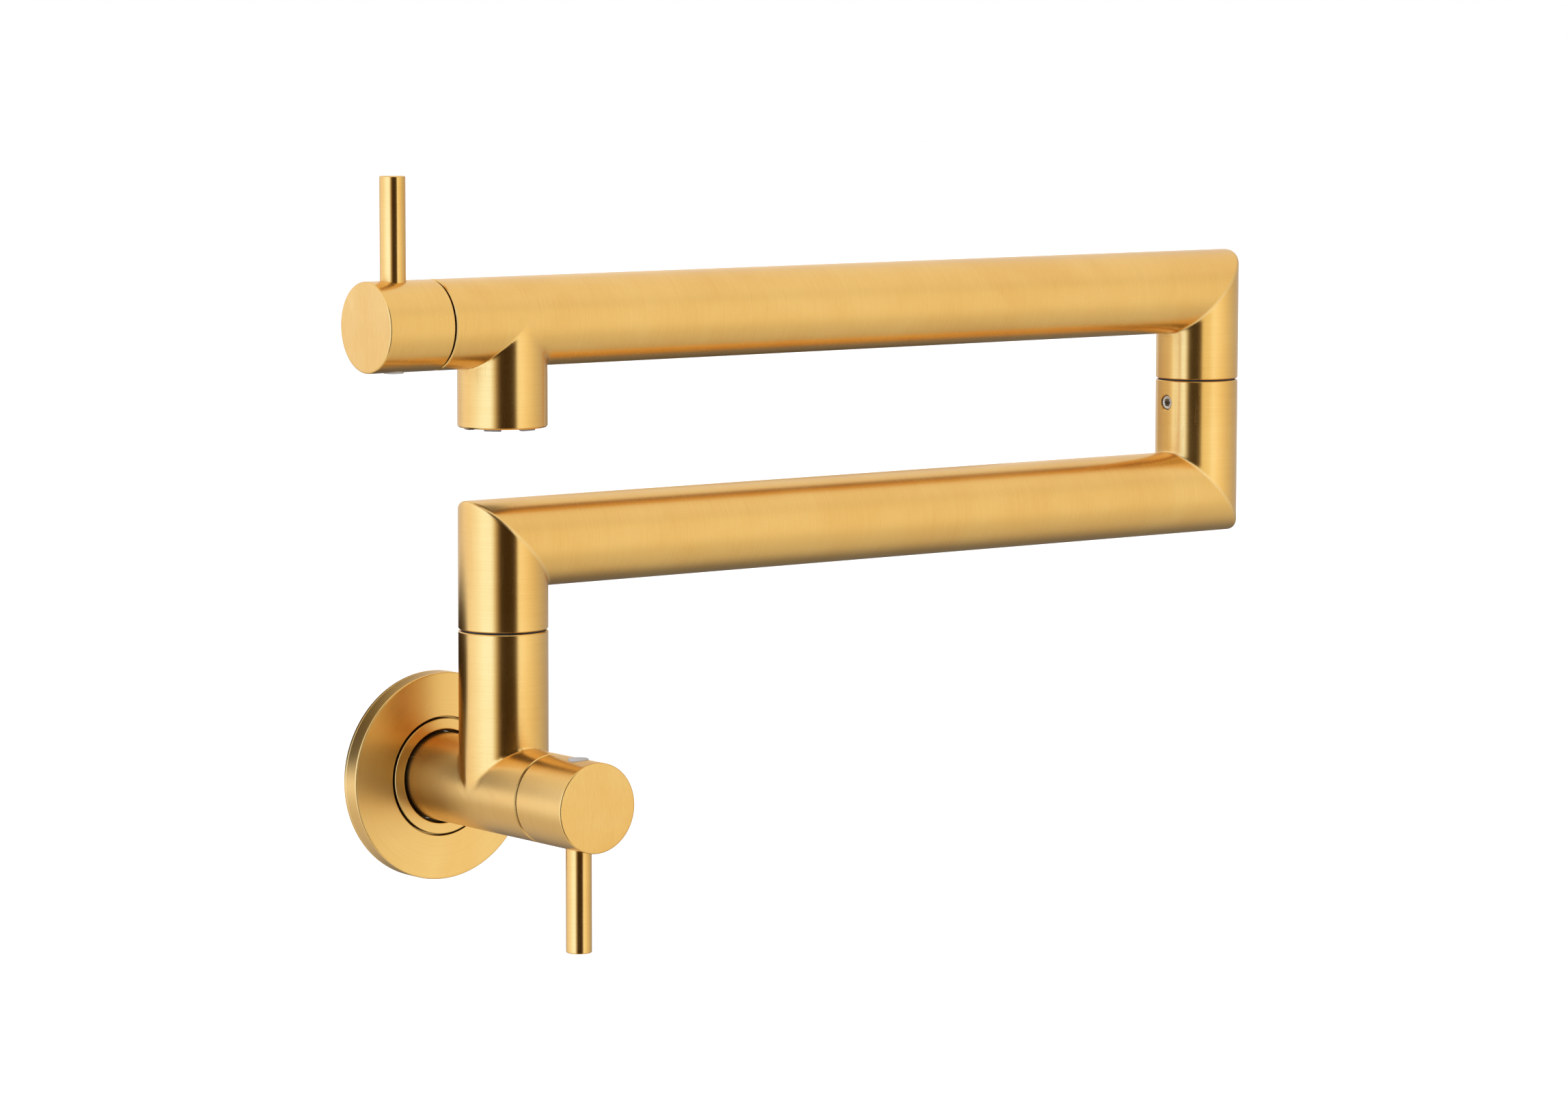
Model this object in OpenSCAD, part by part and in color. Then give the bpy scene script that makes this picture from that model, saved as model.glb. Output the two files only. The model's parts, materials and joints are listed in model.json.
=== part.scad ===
// Wall mounted pot filler: a double jointed arm of mitred tube, with a quarter turn valve at each end.
// The origin is on the inlet axis at the wall face. +Y goes into the wall, +X runs along the folded
// arms, and +Z is up.

/* [Arm tubes] */
// Outside diameter of the arm tubes, the valve housings and the handles
tube_d = 28; // [27:0.5:30]
// Wall of the arm tubes
tube_wall = 2; // [1.75:0.25:2.5]
// Distance between the two vertical swivel axes
arm_length = 288.5; // [180:0.5:400]
// Distance from the wall to the first swivel axis
post_offset = 40.5; // [39:0.5:60]
// Height of the wall swivel joint above the inlet axis
post_h = 50.1; // [46:0.1:90]
// Height of the lower arm's axis above the wall swivel joint
lower_leg = 26.7; // [26:0.1:45]
// Height of the elbow swivel joint above the lower arm's axis
riser_h = 38.8; // [37:0.1:60]
// Height of the upper arm's axis above the elbow swivel joint
upper_leg = 29.9; // [28:0.1:50]
// Distance from the upper arm's axis down to the rim of the spout
spout_drop = 32.4; // [31:0.1:60]
// How much thinner in diameter the branch tubes are than the tube they stand on
branch_undercut = 0.1; // [0.1:0.05:0.3]

/* [Joints] */
// Open line between the two halves of each joint
joint_gap = 0.6; // [0.4:0.05:0.9]
// Chamfer on the tube edges beside each joint
joint_edge = 0.45; // [0.2:0.05:0.7]
// Radial running clearance of a turning fit
run_fit = 0.05; // [0.03:0.01:0.08]
// Radial clearance of a screwed or pushed fit that stays still
still_fit = 0.08; // [0.03:0.01:0.1]
// Clearance between flat faces that lie on each other
face_play = 0.05; // [0.03:0.01:0.08]

/* [Swivels] */
// Wall of each swivel spigot
spigot_wall = 3.4; // [3:0.1:4]
// Length of each spigot held in the tube that turns
spigot_hold = 9; // [6:0.5:10]
// Distance of the locking screw below its swivel joint
swivel_screw_drop = 7.8; // [7:0.1:10]
// Thread diameter of the locking screws and of the handle screws
screw_d = 5; // [4:0.5:5]
// Width across flats of the hexagon sockets
screw_hex = 2.5; // [2:0.25:2.5]
// Depth of the groove in the spigot that the locking screw runs in
screw_groove_depth = 1.8; // [1.4:0.1:2]
// Section of the rubber rings on the spigots
o_ring_d = 1.78; // [1.5:0.01:2]
// Land of metal beside each rubber ring
o_ring_land = 1.5; // [1:0.1:2]

/* [Valves] */
// Distance from the outlet axis of a valve to its handle joint
valve_reach = 26.3; // [26:0.1:32]
// Bore of the valve housing
valve_bore_d = 22; // [21:0.25:22.5]
// Bore of the waterway that feeds a valve
waterway_d = 13; // [11:0.5:13]
// Bore of the branch that takes the water away from a valve
outlet_bore_d = 20; // [18:0.5:20]
// Depth of the valve seat behind the outlet axis
seat_depth = 10.5; // [10:0.1:11.5]
// Thickness of the web that carries the seat in the upper arm
seat_web = 5; // [3:0.5:8]
// Thickness of the rubber seal under each cartridge
seal_t = 1.8; // [1.5:0.1:2.2]
// Thickness of each ceramic disc
disc_t = 3; // [2.5:0.1:3.2]
// Wall of the cartridge round its discs
cartridge_wall = 1.9; // [1.5:0.1:2.1]
// Height of the cartridge cavity's roof above the outlet axis
cavity_roof = 8; // [7.5:0.1:8.5]
// Diameter of the cartridge neck
neck_d = 17; // [15:0.5:17.5]
// Distance of the neck's end inside the handle joint
neck_setback = 2; // [1.6:0.1:3]
// Height of the retaining nut
nut_h = 8; // [6:0.5:8.5]
// Diameter of the valve spindle
spindle_d = 8; // [7.5:0.25:9]
// Section of the rubber rings on the spindle
spindle_ring_d = 1.5; // [1.2:0.1:1.6]

/* [Handles] */
// Length of a handle from its joint to its end face
handle_l = 23.8; // [22:0.1:32]
// Rounded edge of the handle's end face
handle_edge = 0.55; // [0.2:0.05:1.5]
// Depth of the hollow in the handle over the cartridge
handle_hollow = 6; // [3:0.1:7]
// Diameter of the lever pin
lever_d = 8; // [6.5:0.25:10]
// Distance from the handle's axis to the lever's tip
lever_reach = 45.7; // [30:0.1:70]
// Distance from the handle's end face to the lever's axis
lever_inset = 10; // [9:0.1:12]
// Chamfer of the lever's tip
lever_edge = 0.4; // [0.1:0.05:1]
// Thread diameter of the lever's stud
lever_stud_d = 6; // [4:0.5:6]
// Diameter of the plug over the handle screw
plug_d = 6.3; // [5.8:0.1:7]
// Height that the plug stands proud of the handle
plug_proud = 0.2; // [0.1:0.05:1.2]
// Depth of the plug's hole
plug_depth = 3; // [2:0.1:3.5]

/* [Wall flange] */
// Diameter of the wall flange
flange_d = 66; // [60:1:80]
// Depth of the wall flange from the wall to its front face
flange_t = 6.7; // [6:0.1:10]
// Thickness of the flange's front wall
flange_face = 2.6; // [1.5:0.1:2.8]
// Thickness of the flange's rim
flange_rim = 2; // [1.5:0.1:3]
// Chamfer on the flange's edges
flange_edge = 0.4; // [0.2:0.05:0.8]
// Open ring between the housing and the collar
collar_air = 1; // [0.5:0.1:1.5]
// Wall of the collar round the housing
collar_wall = 3.7; // [3:0.1:5]
// Height that the collar stands proud of the flange
collar_proud = 0.5; // [0.2:0.1:1.5]
// Chamfer on the collar's front edge
collar_edge = 0.7; // [0.3:0.1:1]
// Thickness of the collar's lip behind the flange
collar_lip_t = 1.6; // [1:0.1:1.8]
// Width of the collar's lip behind the flange
collar_lip_w = 3; // [1.5:0.1:4]
// Open line between the collar and the flange
collar_gap = 0.35; // [0.2:0.05:0.6]
// Thickness of the gasket in the back of the flange
gasket_t = 2.4; // [1.5:0.1:2.6]
// Width of the gasket
gasket_w = 3.5; // [2:0.1:5]

/* [Inlet] */
// Outside diameter of the half inch inlet thread
inlet_d = 20.955; // [18:0.005:21]
// Length of the inlet thread beyond the wall face
inlet_l = 16; // [10:0.5:30]
// Length of the inlet thread screwed into the housing
inlet_grip = 11; // [8:0.5:12]
// Bore of the inlet nipple
inlet_bore_d = 13; // [10:0.5:13]
// Width across flats of the hexagon key socket in the nipple
inlet_hex = 14; // [13.5:0.25:14.5]
// Depth of the hexagon key socket
inlet_hex_depth = 8; // [5:0.5:9]
// Distance of the housing's back face from the wall
housing_back = 1.5; // [1.2:0.1:2]
// Thickness of the strainer disc
strainer_t = 1; // [0.6:0.1:1.5]
// Diameter of the strainer's holes
strainer_hole_d = 1.4; // [0.8:0.1:1.6]
// Distance between the rings of strainer holes
strainer_pitch = 2.1; // [2:0.1:2.6]

/* [Aerator] */
// Diameter of the aerator's thread
aerator_d = 24; // [23:0.25:24.5]
// Depth of the aerator's recess in the spout
aerator_depth = 11; // [9:0.5:14]
// Wall of the aerator's housing ring
aerator_wall = 2.1; // [1.5:0.1:2.4]
// Number of lugs on the housing ring
aerator_lugs = 6; // [4:1:8]
// Angle that each lug takes up
lug_angle = 27; // [20:1:32]
// Angle by which the slots are turned about the spout
lug_turn = 10; // [0:1:60]
// Depth of the slots between the lugs
lug_depth = 1.6; // [0.8:0.1:2]
// Height that the lugs stand proud of the spout's rim
lug_proud = 0.65; // [0.1:0.05:0.9]
// Thickness of the gasket above the aerator
aerator_gasket_t = 1.6; // [1:0.1:2]
// Thickness of the aerator's screen
screen_t = 0.6; // [0.4:0.1:1]
// Diameter of the screen's holes
screen_hole_d = 1.1; // [0.8:0.1:1.4]
// Distance between the rings of screen holes
screen_pitch = 1.9; // [1.7:0.1:2.4]
// Width of the bars of the aerator's outlet grid
grid_bar = 0.7; // [0.5:0.1:1]
// Distance between the bars of the grid
grid_pitch = 2.6; // [2:0.1:4]
// Height of the outlet grid
grid_h = 2; // [1:0.1:3]
// Rounded edge of the spout's rim
spout_edge = 0.5; // [0.2:0.05:0.8]

/* [Hidden] */
$fn = 96;

gold = [0.84, 0.66, 0.33];
dull_brass = [0.72, 0.58, 0.34];
steel = [0.75, 0.75, 0.76];
ceramic = [0.93, 0.92, 0.88];
black_rubber = [0.12, 0.12, 0.12];
black_plastic = [0.14, 0.14, 0.14];
grey_plastic = [0.62, 0.62, 0.63];

// Overrun of every cut past the faces it opens
overrun = 1;
mitre_angle = 45;
quarter_turn = 90;
half_turn = 180;

tube_r = tube_d / 2;
tube_bore_r = tube_r - tube_wall;
branch_r = tube_r - branch_undercut / 2;
half_gap = joint_gap / 2;
washer_t = joint_gap - 2 * face_play;
washer_r = tube_r - 2 * joint_edge;
cut_size = 4 * tube_d;

// Heights of the axes and joints above the inlet axis
lower_axis_h = post_h + lower_leg;
elbow_joint_h = lower_axis_h + riser_h;
upper_axis_h = elbow_joint_h + upper_leg;

// Spigots of the swivels
spigot_r = tube_bore_r - run_fit;
spigot_bore_r = spigot_r - spigot_wall;
screw_side_play = 0.3;
screw_groove_w = screw_d + 2 * screw_side_play;
o_ring_play = 0.05;
// Width of a rubber ring's groove, as a share of the ring's section
groove_share = 1.35;
o_ring_groove_depth = o_ring_d + 2 * o_ring_play - run_fit;
o_ring_groove_w = groove_share * o_ring_d;
o_ring_pitch = o_ring_groove_w + o_ring_land;
first_ring_drop = swivel_screw_drop + screw_groove_w / 2 + o_ring_land + o_ring_groove_w / 2;
second_ring_drop = first_ring_drop + o_ring_pitch;
spigot_nose = 2;
spigot_edge = 0.8;
spigot_drop = second_ring_drop + o_ring_groove_w / 2 + spigot_nose;
socket_depth = spigot_drop + overrun;

// Locking screws and handle screws
screw_r = screw_d / 2 - still_fit;
screw_tip_share = 0.8;
screw_tip_r = screw_tip_share * screw_r;
screw_tip_l = 1;
screw_tip_play = 0.5;
screw_socket_depth = 2.2;
screw_sunk = 0.5;
screw_edge = 0.3;
screw_tip_at = spigot_r - screw_groove_depth + screw_tip_play;

// Cartridge, from the seat towards the handle
valve_bore_r = valve_bore_d / 2;
cartridge_r = valve_bore_r - still_fit;
cavity_r = cartridge_r - cartridge_wall;
cartridge_start = seal_t + face_play - seat_depth;
fixed_disc_at = cartridge_start + face_play;
moving_disc_at = fixed_disc_at + disc_t + face_play;
disc_r = cavity_r - still_fit;
disc_hole_r = waterway_d / 2;
disc_hub_share = 0.3;
disc_hub_r = disc_hub_share * disc_hole_r;
driver_slot_share = 0.4;
driver_slot = driver_slot_share * disc_t;
driver_w_share = 0.7;
driver_w = driver_w_share * spindle_d;
driver_h = disc_t;
driver_at = moving_disc_at + disc_t - driver_slot + face_play;
driver_top = driver_at + driver_h;
shaft_at = moving_disc_at + disc_t + face_play;
driver_r = disc_r - still_fit;
window_start = driver_top - driver_h / 2;
window_h = cavity_roof - window_start - o_ring_land;
window_w = cavity_r;
cartridge_ring_land = 0.9;
cartridge_ring_at = cavity_roof + cartridge_ring_land + o_ring_groove_w / 2;
cartridge_shoulder = cartridge_ring_at + o_ring_groove_w / 2 + cartridge_ring_land;
neck_r = neck_d / 2;
neck_end = valve_reach - neck_setback;
neck_l = neck_end - cavity_roof;
nut_at = cartridge_shoulder + face_play;
nut_slot_w = 3;
nut_slot_depth = 1.5;
seal_r = cartridge_r - o_ring_land;

// Spindle
spindle_r = spindle_d / 2;
spindle_bore_r = spindle_r + run_fit;
spindle_collar_t = 2.5;
spindle_collar_r = spindle_r + spindle_ring_d;
spindle_collar_at = cavity_roof - 2 * face_play - spindle_collar_t;
spindle_ring_groove_depth = spindle_ring_d + 2 * o_ring_play - run_fit;
spindle_ring_groove_w = groove_share * spindle_ring_d;
// Places of the two rings, as shares of the cartridge neck's length
spindle_ring_shares = [0.35, 0.7];
clip_t = 0.9;
clip_depth = 0.6;
clip_w = 2.2;
clip_mouth = spindle_d - 2 * clip_depth;
clip_at = neck_end + 2 * face_play;
spindle_flat_depth = 0.5;
spindle_flat = spindle_r - spindle_flat_depth;
spindle_past_screw = 3.8;

// Handle
handle_start = valve_reach + half_gap;
handle_end = valve_reach + handle_l;
lever_at = handle_end - lever_inset;
spindle_end = lever_at + spindle_past_screw;
handle_bore_r = spindle_r + run_fit;
handle_hollow_r = valve_bore_r;
lever_r = lever_d / 2;
lever_seat_depth = 1.2;
lever_seat_at = tube_r - lever_seat_depth;
lever_stud_l = 6.5;
lever_stud_r = lever_stud_d / 2;
plug_r = plug_d / 2;
plug_hole_at = tube_r - plug_depth;
handle_screw_at = spindle_flat + face_play;
handle_screw_l = plug_hole_at - handle_screw_at - face_play;

// Wall flange and collar
flange_r = flange_d / 2;
collar_bore_r = tube_r + collar_air;
collar_r = collar_bore_r + collar_wall;
collar_lip_r = collar_r + collar_lip_w;
flange_hole_r = collar_r + collar_gap;
flange_depth = flange_t - flange_face;
flange_inner_r = flange_r - flange_rim;
// Width of the step behind the gasket, as a share of the gasket's width
gasket_seat_share = 0.6;
gasket_seat_r = flange_inner_r - gasket_seat_share * gasket_w;
gasket_r = flange_inner_r - still_fit;
collar_front = flange_t + collar_proud;
collar_lip_at = flange_depth - 2 * face_play;
collar_inner_edge = 0.3;

// Inlet
inlet_r = inlet_d / 2;
inlet_socket_r = inlet_r + still_fit;
inlet_bore_r = inlet_bore_d / 2;
inlet_relief_depth = 0.9;
inlet_start = housing_back + inlet_grip;
relief_end = 0.4;
inlet_edge = 1;
socket_end = inlet_start + strainer_t + 2 * face_play;
inlet_washer_play = 1.05;
washer_inner_r = inlet_r + inlet_washer_play;
washer_outer_r = tube_r - joint_edge;
inlet_washer_t = housing_back - 2 * face_play;
strainer_r = inlet_socket_r - still_fit;
strainer_rings = floor((inlet_bore_r - strainer_hole_d / 2) / strainer_pitch);

// Aerator
aerator_bore_r = aerator_d / 2;
aerator_r = aerator_bore_r - still_fit;
aerator_inner_r = aerator_r - aerator_wall;
aerator_top = aerator_depth - aerator_gasket_t - 2 * face_play;
core_r = aerator_inner_r - still_fit;
core_wall = 1;
core_bottom = lug_depth;
core_top = aerator_top - screen_t - face_play;
core_inner_r = core_r - core_wall;
screen_rings = floor((core_inner_r - screen_hole_d / 2) / screen_pitch);
lug_gap_angle = 360 / aerator_lugs - lug_angle;
grid_count = ceil(core_r / grid_pitch);

// A round bar along +Z with a chamfer at each end
module bar(r, l, start_cut = 0, end_cut = 0) {
    start = start_cut > 0 ? [[r - start_cut, 0], [r, start_cut]] : [[r, 0]];
    end = end_cut > 0 ? [[r, l - end_cut], [r - end_cut, l]] : [[r, l]];
    rotate_extrude()
        polygon(concat([[0, 0]], start, end, [[0, l]]));
}

// A plain bore that starts at z and is l deep
module bore(r, z, l) {
    translate([0, 0, z])
        cylinder(h = l, r = r);
}

// A flat ring that starts at z
module ring(outer, inner, z, h) {
    difference() {
        bore(outer, z, h);
        bore(inner, z - overrun, h + 2 * overrun);
    }
}

// A rubber ring round the Z axis
module o_ring(outer, section, z) {
    translate([0, 0, z])
        rotate_extrude()
            translate([outer - section / 2, 0])
                circle(d = section, $fn = 32);
}

// The groove that holds a rubber ring, cut inwards from the radius r
module groove(r, depth, z, w) {
    ring(r + overrun, r - depth, z - w / 2, w);
}

// A hexagon socket that opens downwards at z = 0
module hex_socket(flats, depth) {
    translate([0, 0, -overrun])
        cylinder(h = depth + overrun, d = flats / cos(30), $fn = 6);
}

// Rings of small holes round the Z axis
module hole_rings(rings, pitch, d, z, h) {
    bore(d / 2, z, h);
    for (k = [1 : rings])
        for (i = [0 : 6 * k - 1])
            rotate([0, 0, 360 * i / (6 * k)])
                translate([k * pitch, 0, z])
                    cylinder(h = h, d = d, $fn = 24);
}

// The far side of a plane through the origin that is tilted about Y
module beyond(angle) {
    rotate([0, angle, 0])
        translate([-cut_size / 2, -cut_size / 2, 0])
            cube(cut_size);
}

// The leg of an elbow, which goes down while its arm goes towards +X
module elbow_leg(r, l, tip_cut = 0) {
    difference() {
        translate([0, 0, -l])
            bar(r, l + r, tip_cut);
        beyond(mitre_angle);
    }
}

// A bar along X between two places
module along_x(r, from, to, start_cut = 0) {
    translate([from, 0, 0])
        rotate([0, quarter_turn, 0])
            bar(r, to - from, start_cut);
}

module lower_run(r, leg, riser, tip_cut) {
    elbow_leg(r, leg, tip_cut);
    difference() {
        along_x(r, -r, arm_length + r);
        beyond(mitre_angle + half_turn);
        translate([arm_length, 0, 0])
            beyond(mitre_angle);
    }
    translate([arm_length, 0, 0])
        rotate([0, half_turn, 0])
            elbow_leg(r, riser, tip_cut);
}

module upper_run(r, start, leg, start_cut, tip_cut) {
    difference() {
        along_x(r, start, arm_length + r, start_cut);
        translate([arm_length, 0, 0])
            beyond(half_turn - mitre_angle);
    }
    translate([arm_length, 0, 0])
        mirror([1, 0, 0])
            elbow_leg(r, leg, tip_cut);
}

// Places: each valve has +Z towards its handle and +Y towards its outlet
module at_wall_valve() {
    translate([0, -post_offset, 0])
        rotate([quarter_turn, 0, 0])
            children();
}

module at_spout_valve() {
    translate([0, -post_offset, upper_axis_h])
        rotate([0, -quarter_turn, 0])
            rotate([0, 0, quarter_turn])
                children();
}

module at_lower_arm() {
    translate([0, -post_offset, lower_axis_h])
        children();
}

module at_upper_arm() {
    translate([0, -post_offset, upper_axis_h])
        children();
}

module at_wall_joint() {
    translate([0, -post_offset, post_h])
        children();
}

module at_elbow_joint() {
    translate([arm_length, -post_offset, elbow_joint_h])
        children();
}

// The inlet has +Z out of the wall
module at_inlet() {
    rotate([quarter_turn, 0, 0])
        children();
}

module at_spout_rim() {
    translate([0, -post_offset, upper_axis_h - spout_drop])
        children();
}

// Swivel pieces, with the joint line at z = 0
module swivel_spigot() {
    difference() {
        translate([0, 0, -spigot_drop])
            bar(spigot_r, spigot_drop + spigot_hold, spigot_edge, spigot_edge);
        bore(spigot_bore_r, -spigot_drop - overrun, spigot_drop + spigot_hold + 2 * overrun);
        groove(spigot_r, screw_groove_depth, -swivel_screw_drop, screw_groove_w);
        groove(spigot_r, o_ring_groove_depth, -first_ring_drop, o_ring_groove_w);
        groove(spigot_r, o_ring_groove_depth, -second_ring_drop, o_ring_groove_w);
    }
}

module swivel_o_rings() {
    for (drop = [first_ring_drop, second_ring_drop])
        o_ring(tube_bore_r - o_ring_play, o_ring_d, -drop);
}

module swivel_washer() {
    ring(washer_r, tube_bore_r, -washer_t / 2, washer_t);
}

// The threaded hole for a locking screw, on the +X side
module swivel_screw_hole() {
    translate([spigot_bore_r, 0, -swivel_screw_drop])
        rotate([0, quarter_turn, 0])
            cylinder(h = tube_r, d = screw_d);
}

// A headless screw along +X whose tip is at from and whose socket is at to
module grub_screw(from, to) {
    translate([to, 0, 0])
        rotate([0, -quarter_turn, 0])
            difference() {
                union() {
                    bar(screw_r, to - from - screw_tip_l, screw_edge, screw_edge);
                    bore(screw_tip_r, to - from - 2 * screw_tip_l, 2 * screw_tip_l);
                }
                hex_socket(screw_hex, screw_socket_depth);
            }
}

module swivel_screw() {
    translate([0, 0, -swivel_screw_drop])
        grub_screw(screw_tip_at, tube_r - screw_sunk);
}

// Valve pieces, in the valve's own frame
module cartridge_body() {
    difference() {
        union() {
            bore(cartridge_r, cartridge_start, cartridge_shoulder - cartridge_start);
            bore(neck_r, cartridge_start, neck_end - cartridge_start);
        }
        bore(cavity_r, cartridge_start - overrun, cavity_roof - cartridge_start + overrun);
        bore(spindle_bore_r, 0, neck_end + overrun);
        groove(cartridge_r, o_ring_groove_depth, cartridge_ring_at, o_ring_groove_w);
        translate([-window_w / 2, -cartridge_r - overrun, window_start])
            cube([window_w, 2 * (cartridge_r + overrun), window_h]);
    }
}

module cartridge_nut() {
    difference() {
        ring(cartridge_r, neck_r + still_fit, nut_at, nut_h);
        translate([-cartridge_r - overrun, -nut_slot_w / 2, nut_at + nut_h - nut_slot_depth])
            cube([2 * (cartridge_r + overrun), nut_slot_w, nut_slot_depth + overrun]);
    }
}

module cartridge_seal() {
    ring(seal_r, waterway_d / 2 + still_fit, face_play - seat_depth, seal_t - face_play);
}

module cartridge_o_ring() {
    o_ring(valve_bore_r - o_ring_play, o_ring_d, cartridge_ring_at);
}

// Two opposite quarter openings, through a disc that starts at z
module disc_openings(z, h) {
    translate([0, 0, z])
        linear_extrude(h)
            difference() {
                circle(r = disc_hole_r);
                circle(r = disc_hub_r);
                square(disc_hole_r + overrun);
                rotate([0, 0, half_turn])
                    square(disc_hole_r + overrun);
            }
}

module fixed_disc() {
    difference() {
        bore(disc_r, fixed_disc_at, disc_t);
        disc_openings(fixed_disc_at - overrun, disc_t + 2 * overrun);
    }
}

module moving_disc() {
    difference() {
        bore(disc_r, moving_disc_at, disc_t);
        rotate([0, 0, quarter_turn])
            disc_openings(moving_disc_at - overrun, disc_t + 2 * overrun);
        translate([-disc_r - overrun, -driver_w / 2 - still_fit, moving_disc_at + disc_t - driver_slot])
            cube([2 * (disc_r + overrun), driver_w + 2 * still_fit, driver_slot + overrun]);
    }
}

module spindle() {
    difference() {
        union() {
            intersection() {
                bore(driver_r, driver_at, driver_h);
                translate([-driver_r, -driver_w / 2, driver_at])
                    cube([2 * driver_r, driver_w, driver_h]);
            }
            bore(spindle_r, shaft_at, spindle_end - shaft_at);
            bore(spindle_collar_r, spindle_collar_at, spindle_collar_t);
        }
        for (share = spindle_ring_shares)
            groove(spindle_r, spindle_ring_groove_depth, cavity_roof + share * neck_l,
                   spindle_ring_groove_w);
        groove(spindle_r, clip_depth, clip_at + clip_t / 2, clip_t + 2 * face_play);
        translate([-spindle_r - overrun, spindle_flat, lever_at - screw_d])
            cube([2 * (spindle_r + overrun), spindle_r, spindle_past_screw + screw_d + overrun]);
    }
}

module spindle_o_rings() {
    for (share = spindle_ring_shares)
        o_ring(spindle_bore_r - o_ring_play, spindle_ring_d, cavity_roof + share * neck_l);
}

// A spring clip with an open mouth, in the spindle's groove above the neck
module spindle_clip() {
    inner = spindle_r - clip_depth + still_fit;
    difference() {
        ring(spindle_r + clip_w, inner, clip_at + face_play / 2, clip_t - face_play);
        translate([0, -clip_mouth / 2, clip_at - overrun])
            cube([spindle_d + clip_w, clip_mouth, clip_t + 2 * overrun]);
    }
}

module valve_handle() {
    difference() {
        translate([0, 0, handle_start])
            bar(tube_r, handle_end - handle_start, joint_edge, handle_edge);
        bore(handle_hollow_r, handle_start - overrun, handle_hollow + overrun);
        bore(handle_bore_r, handle_start, spindle_end + 2 * face_play - handle_start);
        translate([0, 0, lever_at]) {
            rotate([quarter_turn, 0, 0]) {
                bore(lever_r + still_fit, lever_seat_at, lever_seat_depth + overrun);
                bore(lever_stud_r + still_fit, lever_seat_at - lever_stud_l - face_play,
                     lever_stud_l + overrun);
            }
            rotate([-quarter_turn, 0, 0]) {
                bore(screw_d / 2, 0, plug_hole_at + overrun);
                bore(plug_r + still_fit, plug_hole_at, plug_depth + overrun);
            }
        }
    }
}

module valve_lever() {
    translate([0, 0, lever_at])
        rotate([quarter_turn, 0, 0]) {
            translate([0, 0, lever_seat_at + face_play])
                bar(lever_r, lever_reach - lever_seat_at - face_play, 0, lever_edge);
            bore(lever_stud_r, lever_seat_at - lever_stud_l, lever_stud_l + overrun);
        }
}

module handle_screw() {
    translate([0, 0, lever_at])
        rotate([0, 0, quarter_turn])
            grub_screw(handle_screw_at, handle_screw_at + handle_screw_l);
}

module handle_plug() {
    translate([0, 0, lever_at])
        rotate([-quarter_turn, 0, 0])
            translate([0, 0, plug_hole_at + face_play])
                bar(plug_r, plug_depth + plug_proud - face_play, 0, face_play);
}

module wall_flange() {
    color(gold)
        at_inlet()
            difference() {
                bar(flange_r, flange_t, flange_edge, flange_edge);
                bore(gasket_seat_r, -overrun, flange_depth + overrun);
                bore(flange_inner_r, -overrun, gasket_t + overrun);
                bore(flange_hole_r, 0, flange_t + overrun);
            }
}

module flange_gasket() {
    color(black_rubber)
        at_inlet()
            ring(gasket_r, gasket_r - gasket_w, face_play, gasket_t - 2 * face_play);
}

module flange_collar() {
    color(gold)
        at_inlet()
            difference() {
                union() {
                    bar(collar_r, collar_front, 0, collar_edge);
                    bore(collar_lip_r, collar_lip_at - collar_lip_t, collar_lip_t);
                }
                bore(collar_lip_r + overrun, -overrun, collar_lip_at - collar_lip_t + overrun);
                bore(tube_r + still_fit, -overrun, collar_front + 2 * overrun);
                bore(collar_bore_r, collar_lip_at, collar_front);
                translate([0, 0, collar_front - collar_inner_edge])
                    cylinder(h = collar_inner_edge + overrun, r1 = collar_bore_r,
                             r2 = collar_bore_r + collar_inner_edge + overrun);
            }
}

module inlet_nipple() {
    color(dull_brass)
        at_inlet()
            difference() {
                translate([0, 0, -inlet_l])
                    bar(inlet_r, inlet_l + inlet_start, inlet_edge, inlet_edge);
                groove(inlet_r, inlet_relief_depth, (relief_end + housing_back) / 2,
                       housing_back - relief_end);
                bore(inlet_bore_r, -inlet_l - overrun, inlet_l + inlet_start + 2 * overrun);
                translate([0, 0, -inlet_l])
                    hex_socket(inlet_hex, inlet_hex_depth);
            }
}

module inlet_washer() {
    color(black_rubber)
        at_inlet()
            ring(washer_outer_r, washer_inner_r, face_play, inlet_washer_t);
}

module inlet_strainer() {
    color(steel)
        at_inlet()
            difference() {
                bore(strainer_r, inlet_start + face_play, strainer_t);
                hole_rings(strainer_rings, strainer_pitch, strainer_hole_d,
                           inlet_start - overrun, strainer_t + 2 * overrun);
            }
}

module inlet_body() {
    housing_l = post_offset - housing_back + valve_reach - half_gap;
    socket_start = post_offset - socket_end;
    color(gold)
        at_wall_valve()
            difference() {
                union() {
                    translate([0, 0, housing_back - post_offset])
                        bar(tube_r, housing_l, joint_edge, joint_edge);
                    rotate([-quarter_turn, 0, 0])
                        bar(branch_r, post_h - half_gap, 0, joint_edge);
                }
                bore(valve_bore_r, -seat_depth, seat_depth + valve_reach + overrun);
                bore(waterway_d / 2, -socket_start - overrun, socket_start);
                bore(inlet_socket_r, -post_offset, socket_end);
                rotate([-quarter_turn, 0, 0]) {
                    bore(outlet_bore_d / 2, 0, post_h);
                    bore(tube_bore_r, post_h - socket_depth, socket_depth + overrun);
                    translate([0, 0, post_h])
                        rotate([0, 0, quarter_turn])
                            swivel_screw_hole();
                }
            }
}

module wall_swivel_spigot() {
    color(dull_brass)
        at_wall_joint()
            swivel_spigot();
}

module wall_swivel_o_rings() {
    color(black_rubber)
        at_wall_joint()
            swivel_o_rings();
}

module wall_swivel_washer() {
    color(black_plastic)
        at_wall_joint()
            swivel_washer();
}

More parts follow.
